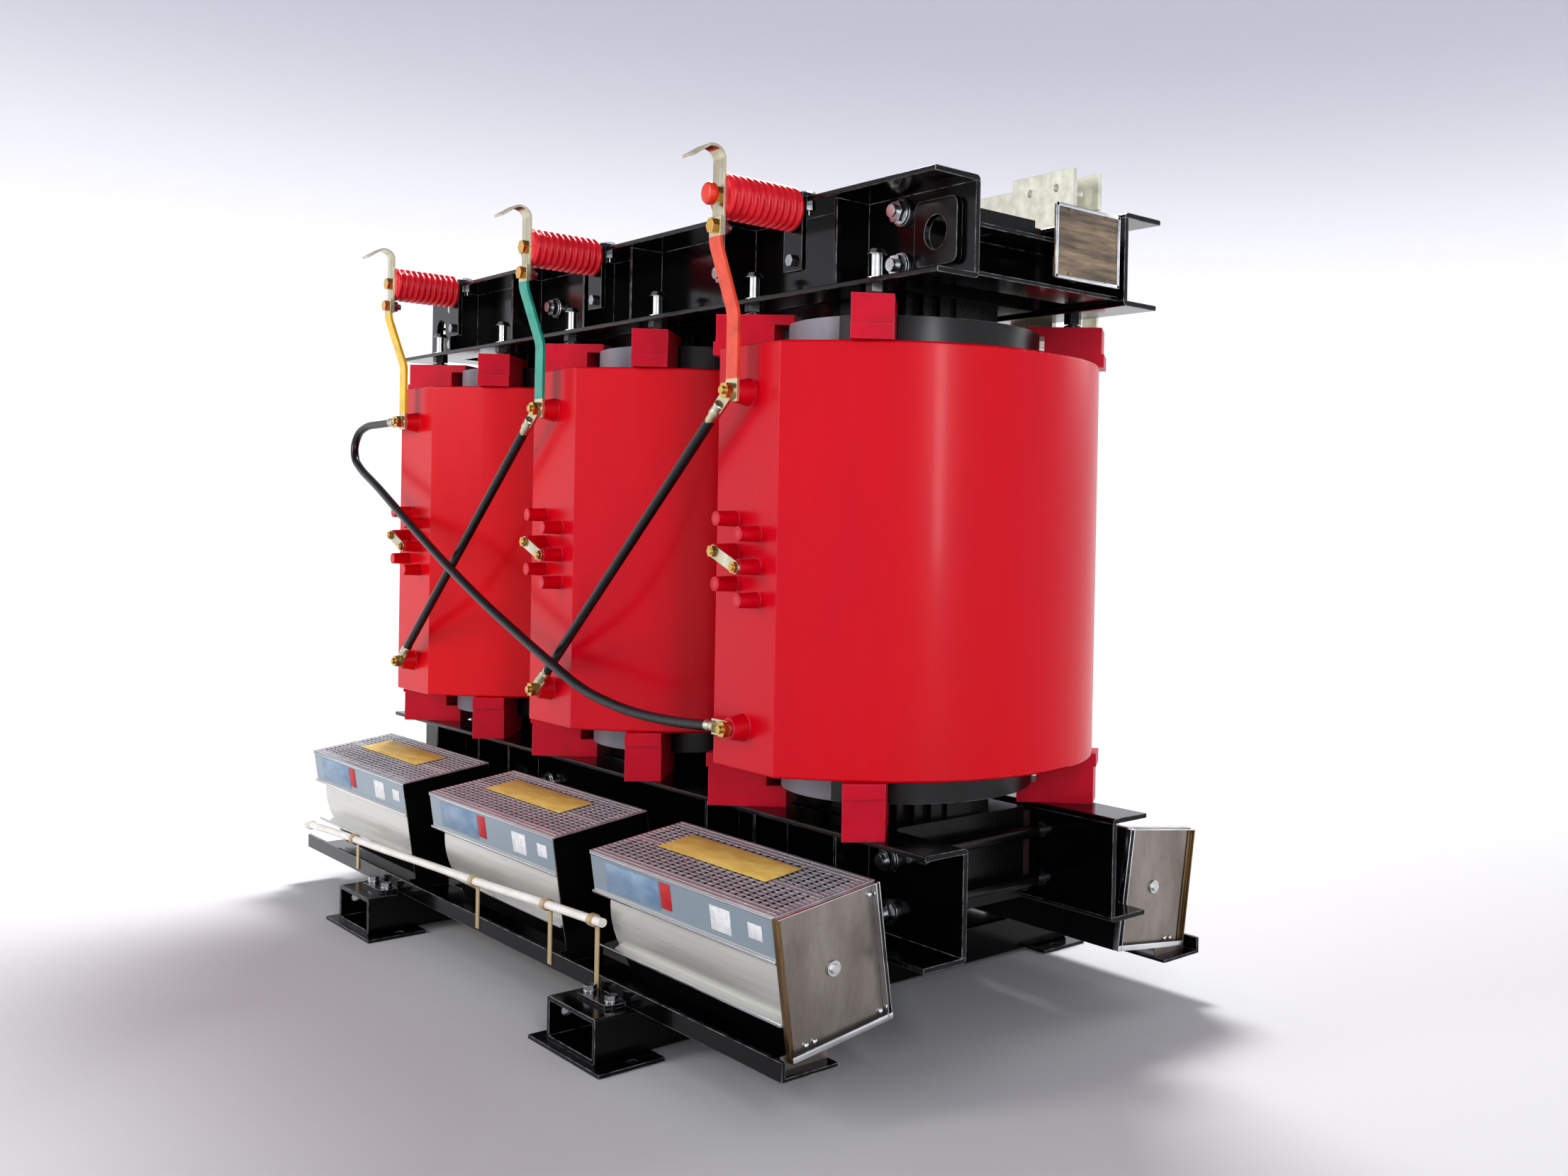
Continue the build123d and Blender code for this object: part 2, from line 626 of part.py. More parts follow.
def lug_plane(x, y, z, toward_x, toward_z):
    """Plane of a terminal lug whose X axis points along its conductor."""
    return Plane(origin=(x, y + lug_t / 2, z), x_dir=(toward_x, 0, toward_z), z_dir=(0, -1, 0))


def add_lug(plane, x, y, z, length):
    """Flat lug with its palm on the stud and its barrel along the conductor."""
    with BuildSketch(plane) as palm:
        Circle(lug_w / 2)
        with Locations((length / 2, 0)):
            Rectangle(length, lug_w)
    extrude(palm.sketch, amount=lug_t)


lug_reach = 40.0
for key, x0, x1 in (("cb", coil_pitch, 0.0), ("ba", 0.0, -coil_pitch)):
    run_x = x1 - x0
    run_z = bottom_terminal_z - top_terminal_z
    run = hypot(run_x, run_z)
    ux, uz = run_x / run, run_z / run
    with BuildPart() as delta_link:
        add_lug(lug_plane(x0, top_lug_y, top_terminal_z, ux, uz), x0, top_lug_y, top_terminal_z, lug_reach)
        add_lug(lug_plane(x1, low_lug_y, bottom_terminal_z, -ux, -uz), x1, low_lug_y, bottom_terminal_z, lug_reach)
        start = Vector(x0 + ux * 30, top_lug_y, top_terminal_z + uz * 30)
        finish = Vector(x1 - ux * 30, low_lug_y, bottom_terminal_z - uz * 30)
        with BuildSketch(Plane(origin=start, z_dir=finish - start)):
            Circle(rod_r)
        extrude(amount=(finish - start).length)
        rod_y(x0, top_terminal_z, stud_r + nut_grip, top_lug_y - 9, top_lug_y + 9, Mode.SUBTRACT)
        rod_y(x1, bottom_terminal_z, stud_r + nut_grip, low_lug_y - 9, low_lug_y + 9, Mode.SUBTRACT)
    save("delta_link_" + key, delta_link.part)

ac_route = [
    (-coil_pitch - 30, top_lug_y, top_terminal_z),
    (-coil_pitch - 108, top_lug_y - 1, top_terminal_z - 2),
    (-coil_pitch - 180, top_lug_y - 3, top_terminal_z - 3),
    (-coil_pitch - 226, top_lug_y - 5, top_terminal_z - 16),
    (-coil_pitch - 245, top_lug_y - 8, top_terminal_z - 46),
    (-coil_pitch - 228, top_lug_y - 11, top_terminal_z - 78),
    (-coil_pitch - 176, top_lug_y - 14, top_terminal_z - 102),
    (-coil_pitch - 70, top_lug_y - 18, top_terminal_z - 138),
    (-coil_pitch + 60, top_lug_y - 22, top_terminal_z - 190),
    (-coil_pitch + 262, top_lug_y - 24, top_terminal_z - 272),
    (-coil_pitch + 470, top_lug_y - 24, top_terminal_z - 352),
    (-coil_pitch + 690, top_lug_y - 22, top_terminal_z - 425),
    (-coil_pitch + 856, top_lug_y - 16, top_terminal_z - 482),
    (-coil_pitch + 990, top_lug_y - 6, bottom_terminal_z - 2),
    (-coil_pitch + 1110, top_lug_y + 2, bottom_terminal_z - 6),
    (coil_pitch - 30, low_lug_y, bottom_terminal_z),
]
ac_rod = round_route(ac_route, rod_r, "delta_link_ac")
with BuildPart() as delta_link_ac:
    add(ac_rod)
    add_lug(lug_plane(-coil_pitch, top_lug_y, top_terminal_z, -1, 0), -coil_pitch, top_lug_y, top_terminal_z, lug_reach)
    add_lug(lug_plane(coil_pitch, low_lug_y, bottom_terminal_z, -1, 0), coil_pitch, low_lug_y, bottom_terminal_z, lug_reach)
    rod_y(-coil_pitch, top_terminal_z, stud_r + nut_grip, top_lug_y - 9, top_lug_y + 9, Mode.SUBTRACT)
    rod_y(coil_pitch, bottom_terminal_z, stud_r + nut_grip, low_lug_y - 9, low_lug_y + 9, Mode.SUBTRACT)
save("delta_link_ac", delta_link_ac.part)

# ================================================================= low voltage
lv_bar_t = 10.0
lv_bar_y = 290.0
neutral_y = 350.0
flag_bottom = upper_clamp_top + 68.0
flag_top = flag_bottom + 68.0
flag_hole_pitch = 68.0
flag_hole_d = 14.0
with BuildPart() as lv_terminal_bars:
    for x in coil_x.values():
        block(x - 80, x + 30, 162, lv_bar_y + lv_bar_t / 2, lv_top, lv_top + lv_bar_t)
        block(x - 80, x + 30, lv_bar_y - lv_bar_t / 2, lv_bar_y + lv_bar_t / 2, lv_top, flag_top)
        block(x - 76, x + 76, lv_bar_y - lv_bar_t / 2, lv_bar_y + lv_bar_t / 2, flag_bottom, flag_top)
        for dx in (-flag_hole_pitch / 2, flag_hole_pitch / 2):
            rod_y(x + dx, flag_top - 30, flag_hole_d / 2, lv_bar_y - 9, lv_bar_y + 9, Mode.SUBTRACT)
save("lv_terminal_bars", lv_terminal_bars.part)

with BuildPart() as lv_neutral_bar:
    block(-coil_pitch - 76, coil_pitch + 80, neutral_y - 5, neutral_y + 5, flag_bottom + 4, flag_top)
    for x in coil_x.values():
        block(x + 42, x + 78, 160, neutral_y + 5, lv_top, lv_top + 6)
        block(x + 42, x + 78, neutral_y - 1, neutral_y + 5, lv_top, flag_bottom + 8)
    for dx in (-flag_hole_pitch / 2, flag_hole_pitch / 2):
        rod_y(coil_pitch + dx, flag_top - 30, flag_hole_d / 2, neutral_y - 9, neutral_y + 9, Mode.SUBTRACT)
save("lv_neutral_bar", lv_neutral_bar.part)

post_base_z = upper_clamp_top + 6
with BuildPart() as insulator_brackets:
    for x in coil_x.values():
        block(x - 24, x + 24, -upper_flange_top_out, -insulator_root, upper_clamp_bottom + 33, upper_clamp_top + 6)
        block(x - 24, x + 24, -(upper_flange_top_out - 44), -insulator_root, upper_clamp_top, upper_clamp_top + 6)
        rod_z(x, -bracket_bolt_y, 5 + hole_clearance, upper_clamp_top - 1, upper_clamp_top + 7, Mode.SUBTRACT)
        rod_y(x, bracket_bolt_z, 5 + hole_clearance, -upper_flange_top_out + 1, -insulator_root - 1, Mode.SUBTRACT)
    for x in (-coil_pitch / 2, coil_pitch / 2):
        block(x - 30, x + 30, upper_flange_top_out - 44, neutral_y + 24, upper_clamp_top, post_base_z)
        rod_z(x, bracket_bolt_y, 5 + hole_clearance, upper_clamp_top - 1, upper_clamp_top + 7, Mode.SUBTRACT)
save("insulator_brackets", insulator_brackets.part)

with BuildPart() as lv_insulators:
    for x in (-coil_pitch / 2, coil_pitch / 2):
        height = flag_bottom + 4 - post_base_z
        rod_z(x, neutral_y, 20, post_base_z, post_base_z + height)
        for level in (0.2, 0.5, 0.8):
            rod_z(x, neutral_y, 25, post_base_z + height * level - 5, post_base_z + height * level + 5)
    for x in coil_x.values():
        block(x - 65, x + 15, upper_flange_top_out, lv_bar_y - lv_bar_t / 2, upper_clamp_top - plate_t - 14, upper_clamp_top)
save("lv_insulators", lv_insulators.part)

with BuildPart() as terminal_bolts:
    for x in coil_x.values():
        hex_z(x, -bracket_bolt_y, 17, upper_clamp_top + 6, upper_clamp_top + 13)
        rod_z(x, -bracket_bolt_y, 5, upper_clamp_top - 24, upper_clamp_top + 7)
        hex_z(x, -bracket_bolt_y, 17, upper_clamp_top - plate_t - 8, upper_clamp_top - plate_t)
        hex_y(x, bracket_bolt_z, 17, -insulator_root, -insulator_root - 7)
        rod_y(x, bracket_bolt_z, 5, -insulator_root - 1, -(upper_flange_top_out - 14))
        hex_y(x, bracket_bolt_z, 17, -upper_flange_top_out, -(upper_flange_top_out - 8))
        outer = insulator_tip + hook_t
        hex_y(x, insulator_z, 22, -outer, -outer - 9)
        rod_y(x, insulator_z, stud_r, -outer - 1, -insulator_tip + 22)
        hex_y(x, lower_joint_z, 20, -outer - link_t, -outer - link_t - 8)
        rod_y(x, lower_joint_z, stud_r, -outer - link_t - 1, -insulator_tip + 16)
        hex_y(x, lower_joint_z, 20, -insulator_tip, -insulator_tip + 9)
    for x in (-coil_pitch / 2, coil_pitch / 2):
        hex_z(x, bracket_bolt_y, 17, upper_clamp_top + 6, upper_clamp_top + 13)
        rod_z(x, bracket_bolt_y, 5, upper_clamp_top - 24, upper_clamp_top + 7)
        hex_z(x, bracket_bolt_y, 17, upper_clamp_top - plate_t - 8, upper_clamp_top - plate_t)
save("terminal_bolts", terminal_bolts.part)

lug_eye_d = 50.0
with BuildPart() as lifting_lugs:
    for sx in (-1, 1):
        for side in (-1, 1):
            block(sx * lift_x - 48, sx * lift_x + 48, side * web_outer, side * (web_outer + 10), lift_z - 48, lift_z + 48)
    fillet(lifting_lugs.edges().filter_by(Axis.Y), 14)
    for sx in (-1, 1):
        for side in (-1, 1):
            rod_y(sx * lift_x, lift_z, lug_eye_d / 2, side * (web_outer - 1), side * (web_outer + 11), Mode.SUBTRACT)
save("lifting_lugs", lifting_lugs.part)

plate_y0, plate_y1 = 2.0, 142.0
plate_z0, plate_z1 = end_tie_top - 60.0, end_tie_top + 53.0
with BuildPart() as rating_plate:
    block(end_tie_out + 8, end_tie_out + 11, plate_y0, plate_y1, plate_z0, plate_z1)
    fillet(rating_plate.edges().filter_by(Axis.X), 5)
    for y in (plate_y0 + 30, plate_y1 - 30):
        block(end_tie_out, end_tie_out + 9, y - 12, y + 12, end_tie_top - 6, end_tie_top - 1)
        for z in (plate_z0 + 8, plate_z1 - 8):
            with Locations((end_tie_out + 11.5, y, z)):
                Cylinder(3, 3, rotation=(0, 90, 0))
save("rating_plate", rating_plate.part)

# ================================================================= fans
tilt = radians(fan_tilt)


def fan_point(u, v):
    """Front fan section coordinates (outward, up) to global (Y, Z)."""
    y = -fan_base_y - u * cos(tilt) - v * sin(tilt)
    z = fan_base_z - u * sin(tilt) + v * cos(tilt)
    return (y, z)


def fan_plane(x):
    """Section plane of a front fan at station x, local X outward, local Y up."""
    return Plane(origin=(x, -fan_base_y, fan_base_z), x_dir=(0, -cos(tilt), -sin(tilt)), z_dir=(-1, 0, 0))


half_depth = fan_depth / 2
rear_skin = [(-half_depth, 2), (-half_depth, fan_height), (-half_depth + fan_sheet, fan_height), (-half_depth + fan_sheet, 4.5), (58, 4.5), (58, 2)]
band_skin = [(half_depth, 142), (half_depth, fan_height), (half_depth - fan_sheet, fan_height), (half_depth - fan_sheet, 142)]
ledge = [(half_depth - 4, 138), (half_depth + 3, 138), (half_depth + 3, 142), (half_depth - 4, 142)]
skirt = [(56, 2), (58.5, 2), (74.5, 56), (72, 56)]
bottom_lip = [(72, 55), (87, 52), (88, 55), (76, 60), (72, 60)]


def fan_casing(x):
    """Sheet casing of one front fan, open on top and at both ends."""
    with BuildPart() as casing:
        with BuildSketch(fan_plane(x + fan_length / 2)):
            for outline in (rear_skin, band_skin, ledge, skirt, bottom_lip):
                with BuildLine():
                    Polyline(*outline, close=True)
                make_face()
            with BuildLine():
                ThreePointArc((half_depth - 1, 140), (half_depth + 2, 98), (half_depth - 6, 58))
                Line((half_depth - 6, 58), (half_depth - 8.5, 58))
                ThreePointArc((half_depth - 8.5, 58), (half_depth - 0.5, 98), (half_depth - 3.5, 140))
                Line((half_depth - 3.5, 140), (half_depth - 1, 140))
            make_face()
        extrude(amount=fan_length)
        with BuildSketch(fan_plane(x - fan_length / 2 + motor_bay)):
            with Locations((half_depth - 8, 70)):
                Rectangle(60, 136)
        extrude(amount=motor_bay + 1, mode=Mode.SUBTRACT)
    return casing.part


def fan_grille(x):
    """Slotted inlet grille on top of one front fan."""
    with BuildPart() as grille:
        with BuildSketch(fan_plane(x + fan_length / 2 + 3).offset(0)):
            with Locations((0, fan_height + 1)):
                Rectangle(fan_depth, 2)
        extrude(amount=fan_length + 6)
        y, z = fan_point(0, fan_height + 1)
        slot_plane = Plane(origin=(x, y, z), x_dir=(1, 0, 0), z_dir=(0, -sin(tilt), cos(tilt)))
        with BuildSketch(slot_plane.offset(-2)):
            with GridLocations(20, 72, 24, 2):
                Rectangle(9, 60)
        extrude(amount=4, mode=Mode.SUBTRACT)
    return grille.part


inner_outline = [(-half_depth + fan_sheet, 4.5), (55, 4.5), (70, 55), (70, 138), (half_depth - fan_sheet, 143), (half_depth - fan_sheet, fan_height), (-half_depth + fan_sheet, fan_height)]
end_outline = [(-half_depth, 2), (half_depth + 3, 2), (half_depth + 3, fan_height), (-half_depth, fan_height)]
axis_y, axis_z = fan_point(0, impeller_rise)


def fan_ends(x):
    """Motor bulkhead and outer end plate of one front fan."""
    with BuildPart() as bulkhead:
        with BuildSketch(fan_plane(x - fan_length / 2 + motor_bay + fan_sheet)):
            with BuildLine():
                Polyline(*inner_outline, close=True)
            make_face()
            with Locations((0, impeller_rise)):
                Circle(shaft_r + running_fit, mode=Mode.SUBTRACT)
        extrude(amount=fan_sheet)
    with BuildPart() as end_plate:
        with BuildSketch(fan_plane(x + fan_length / 2 + fan_sheet)):
            with BuildLine():
                Polyline(*end_outline, close=True)
            make_face()
            with Locations((0, impeller_rise)):
                Circle(shaft_r + running_fit, mode=Mode.SUBTRACT)
        extrude(amount=fan_sheet)
        cap_x = x + fan_length / 2 + fan_sheet
        with Locations((cap_x + 1.5, axis_y, axis_z)):
            Cylinder(11, 3, rotation=(0, 90, 0))
        with BuildSketch(Plane(origin=(cap_x + 3, axis_y, axis_z), x_dir=(0, 1, 0), z_dir=(1, 0, 0))):
            RegularPolygon(7, 6)
        extrude(amount=4)
        with Locations((cap_x - 0.5, axis_y, axis_z)):
            Cylinder(shaft_r + running_fit, 3, rotation=(0, 90, 0), mode=Mode.SUBTRACT)
        leg_top = fan_point(30, 6)[1]
        block(cap_x - fan_sheet, cap_x, -(rail_out - rail_t - 8), -(rail_in + 2), foot_top + rail_t, leg_top)
    return [bulkhead.part, end_plate.part]


def fan_motor(x):
    """Shaded-pole motor at the left end of one front fan with its wire guard."""
    bay_end = x - fan_length / 2 + motor_bay
    with BuildPart() as motor:
        with Locations((bay_end - 18, axis_y, axis_z)):
            Cylinder(30, 36, rotation=(0, 90, 0))
        with Locations((bay_end - 39, axis_y, axis_z)):
            Cylinder(12, 8, rotation=(0, 90, 0))
        with Locations(Plane(origin=(bay_end - 44, axis_y, axis_z), x_dir=(0, 1, 0), z_dir=(1, 0, 0))):
            Torus(44, 2.2)
            for turn in (0, 60, 120):
                Cylinder(2.2, 88, rotation=(90, turn, 0))
        with Locations((bay_end - 7, axis_y, axis_z)):
            Cylinder(shaft_r + running_fit, 16, rotation=(0, 90, 0), mode=Mode.SUBTRACT)
    return motor.part


def fan_impeller(x):
    """Cross-flow rotor: shaft, five discs and a ring of curved blades."""
    left = x - fan_length / 2 + motor_bay + fan_sheet + 5
    right = x + fan_length / 2 - 6
    with BuildPart() as impeller:
        rotor_plane = Plane(origin=(left, axis_y, axis_z), x_dir=(0, 1, 0), z_dir=(1, 0, 0))
        with BuildSketch(rotor_plane):
            with PolarLocations(impeller_r - 6, impeller_blades):
                Rectangle(10.5, 1.6, rotation=28)
        extrude(amount=right - left)
        for share in (0, 0.25, 0.5, 0.75, 1):
            with Locations((left + 1 + share * (right - left - 2), axis_y, axis_z)):
                Cylinder(impeller_r - 1.5, 2, rotation=(0, 90, 0))
        shaft_left = x - fan_length / 2 + motor_bay - 12
        shaft_right = x + fan_length / 2 + fan_sheet
        with Locations(((shaft_left + shaft_right) / 2, axis_y, axis_z)):
            Cylinder(shaft_r, shaft_right - shaft_left, rotation=(0, 90, 0))
    return impeller.part


casings, grilles, ends, motors, impellers = [], [], [], [], {}
for key, x in coil_x.items():
    casings.append(fan_casing(x))
    grilles.append(fan_grille(x))
    ends.extend(fan_ends(x))
    motors.append(fan_motor(x))
    impellers[key] = fan_impeller(x)


def rear_copy(part):
    """Mirror a front piece to the rear rail."""
    return part.mirror(Plane.XZ)


with BuildPart() as fan_casings_front:
    for piece in casings:
        add(piece)
save("fan_casings_front", fan_casings_front.part)

with BuildPart() as fan_casings_rear:
    for piece in casings:
        add(rear_copy(piece))
save("fan_casings_rear", fan_casings_rear.part)

for name, pieces in (("fan_grilles", grilles), ("fan_end_plates", ends), ("fan_motors", motors)):
    with BuildPart() as fan_group:
        for piece in pieces:
            add(piece)
            add(rear_copy(piece))
    save(name, fan_group.part)

for key, piece in impellers.items():
    with BuildPart() as rotor_front:
        add(piece)
    save("fan_impeller_front_" + key, rotor_front.part)
    with BuildPart() as rotor_rear:
        add(rear_copy(piece))
    save("fan_impeller_rear_" + key, rotor_rear.part)

for key, side in (("front", -1), ("rear", 1)):
    with BuildPart() as fan_rail:
        points = [
            (side * rail_in, foot_top),
            (side * rail_out, foot_top),
            (side * rail_out, foot_top + rail_lip),
            (side * (rail_out - rail_t), foot_top + rail_lip),
            (side * (rail_out - rail_t), foot_top + rail_t),
            (side * rail_in, foot_top + rail_t),
        ]
        with BuildSketch(Plane.YZ.offset(-rail_half_length)):
            with BuildLine():
                Polyline(*points, close=True)
            make_face()
        extrude(amount=2 * rail_half_length)
        for sx in (-1, 1):
            with BuildSketch(Plane.XY.offset(foot_top)) as ear:
                with Locations((sx * foot_x, side * (rail_out + ear_reach / 2 - 2))):
                    RectangleRounded(2 * ear_half_width, ear_reach + 4, 14)
            extrude(ear.sketch, amount=ear_t)
            for dx in (-ear_bolt_dx, ear_bolt_dx):
                rod_z(sx * foot_x + dx, side * (rail_out + ear_bolt_out), 5 + hole_clearance, foot_top - 1, foot_top + ear_t + 1, Mode.SUBTRACT)
    save("fan_rail_" + key, fan_rail.part)

conduit_r = 7.0
conduit_y = -(rail_out + conduit_r + 1)
conduit_start = -(rail_half_length - 27.0)
conduit_route = [
    (conduit_start, conduit_y, foot_top + 54),
    (conduit_start + 188, conduit_y, foot_top + 65),
    (conduit_start + 418, conduit_y, foot_top + 72),
    (conduit_start + 648, conduit_y, foot_top + 83),
    (conduit_start + 888, conduit_y, foot_top + 92),
    (conduit_start + 1128, conduit_y, foot_top + 105),
    (conduit_start + 1328, conduit_y, foot_top + 114),
]
conduit_tube = round_route(conduit_route, conduit_r, "fan_conduit")
with BuildPart() as fan_conduit:
    add(conduit_tube)
    for along, rise in ((276, 68.3), (858, 90.8), (1138, 105.3), (1298, 112.7)):
        x = conduit_start + along
        z = foot_top + rise
        with BuildSketch(Plane.YZ.offset(x - 6)):
            with Locations((conduit_y, z)):
                Circle(conduit_r + 3)
            with Locations((-(rail_out + 1), (foot_top + 6 + z) / 2)):
                Rectangle(2, z - foot_top - 6)
        extrude(amount=12)
save("fan_conduit", fan_conduit.part)
print("nodes written", len(os.listdir("parts")))
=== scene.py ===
import logging
import math
from dataclasses import dataclass, field, replace
from enum import Enum

import bmesh
import bpy
from mathutils import Matrix, Vector


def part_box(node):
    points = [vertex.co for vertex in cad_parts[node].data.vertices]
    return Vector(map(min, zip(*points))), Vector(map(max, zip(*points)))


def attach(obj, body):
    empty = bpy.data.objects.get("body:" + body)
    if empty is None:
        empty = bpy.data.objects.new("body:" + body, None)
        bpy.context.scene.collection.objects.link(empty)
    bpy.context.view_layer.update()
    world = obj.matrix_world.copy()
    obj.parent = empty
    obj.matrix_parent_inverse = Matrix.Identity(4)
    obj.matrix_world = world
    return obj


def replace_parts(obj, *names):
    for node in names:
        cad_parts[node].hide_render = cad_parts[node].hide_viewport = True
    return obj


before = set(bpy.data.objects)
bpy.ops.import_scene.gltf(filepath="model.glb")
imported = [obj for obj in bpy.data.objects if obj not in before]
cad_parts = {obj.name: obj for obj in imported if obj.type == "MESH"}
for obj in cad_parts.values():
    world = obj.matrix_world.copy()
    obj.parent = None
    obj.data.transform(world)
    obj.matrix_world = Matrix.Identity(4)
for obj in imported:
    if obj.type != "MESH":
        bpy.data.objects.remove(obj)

logging.basicConfig(level=logging.INFO, format="%(message)s")
log = logging.getLogger("transformer")

Tree = bpy.types.NodeTree
Socket = bpy.types.NodeSocket
Piece = bpy.types.Object
Shape = bmesh.types.BMesh
Point = tuple[float, float, float]
Range = tuple[float, float]

MM = 0.001
BODY = "transformer"
# Phases A, B and C stand this far apart, and the fans stand under them.
PITCH = 0.634
STATIONS = (-PITCH, 0.0, PITCH)
SIDES = (-1, 1)  # front and rear
COLOURS = {"data_type": "RGBA"}
SMOOTH = {"interpolation_type": "SMOOTHSTEP"}
PRODUCT = {"operation": "MULTIPLY"}


# ---- small tools
def linear(code: str) -> tuple[float, ...]:
    """Turns an sRGB hex colour into the linear one that a shader takes.

    Args:
        code: Six hex digits.

    Returns:
        Red, green, blue and alpha.
    """
    parts = [int(code[i:i + 2], 16) / 255 for i in (0, 2, 4)]
    # the sRGB curve: a straight foot, then a power
    return tuple(c / 12.92 if c <= 0.04045 else ((c + 0.055) / 1.055) ** 2.4
                 for c in parts) + (1.0,)


def add_node(tree: Tree, kind: str, settings: dict | None = None,
             links: dict | None = None) -> bpy.types.Node:
    """Adds one shader node with its settings and its links.

    Args:
        tree: The material's node tree.
        kind: Node type without its ShaderNode prefix.
        settings: Properties of the node.
        links: Input name or number to a value, or to the socket that feeds it.

    Returns:
        The new node.
    """
    made = tree.nodes.new("ShaderNode" + kind)
    for key, value in (settings or {}).items():
        setattr(made, key, value)
    for key, value in (links or {}).items():
        if isinstance(value, Socket):
            tree.links.new(value, made.inputs[key])
        else:
            made.inputs[key].default_value = value
    return made


class Axis(Enum):
    """Direction that a pattern runs along."""

    X = (1.0, 0.0, 0.0)
    Y = (0.0, 1.0, 0.0)
    Z = (0.0, 0.0, 1.0)


class Grain(Enum):
    """How a surface was made, which decides its fine pattern."""

    CAST = "cast"
    ENAMEL = "enamel"
    BRUSHED = "brushed"
    STACKED = "stacked"
    MOULDED = "moulded"
    PRINTED = "printed"


# How far the fine pattern lightens and darkens the colour.
TINT_SHARE = {Grain.PRINTED: 0.5, Grain.STACKED: 0.4, Grain.BRUSHED: 0.08}
PLAIN_SHARE = 0.03


# ---- finishes
@dataclass(frozen=True)
class Zone:
    """Box on a node where another finish shows, such as a bare end on a sleeved bar.

    Attributes:
        colour: sRGB hex.
        metallic: 1 for bare metal.
        roughness: Gloss of the zone.
        x: Range along X in metres, or None.
        y: Range of the distance from the middle plane along Y, or None.
        z: Range along Z in metres, or None.
    """

    colour: str
    metallic: float
    roughness: float
    x: Range | None = None
    y: Range | None = None
    z: Range | None = None


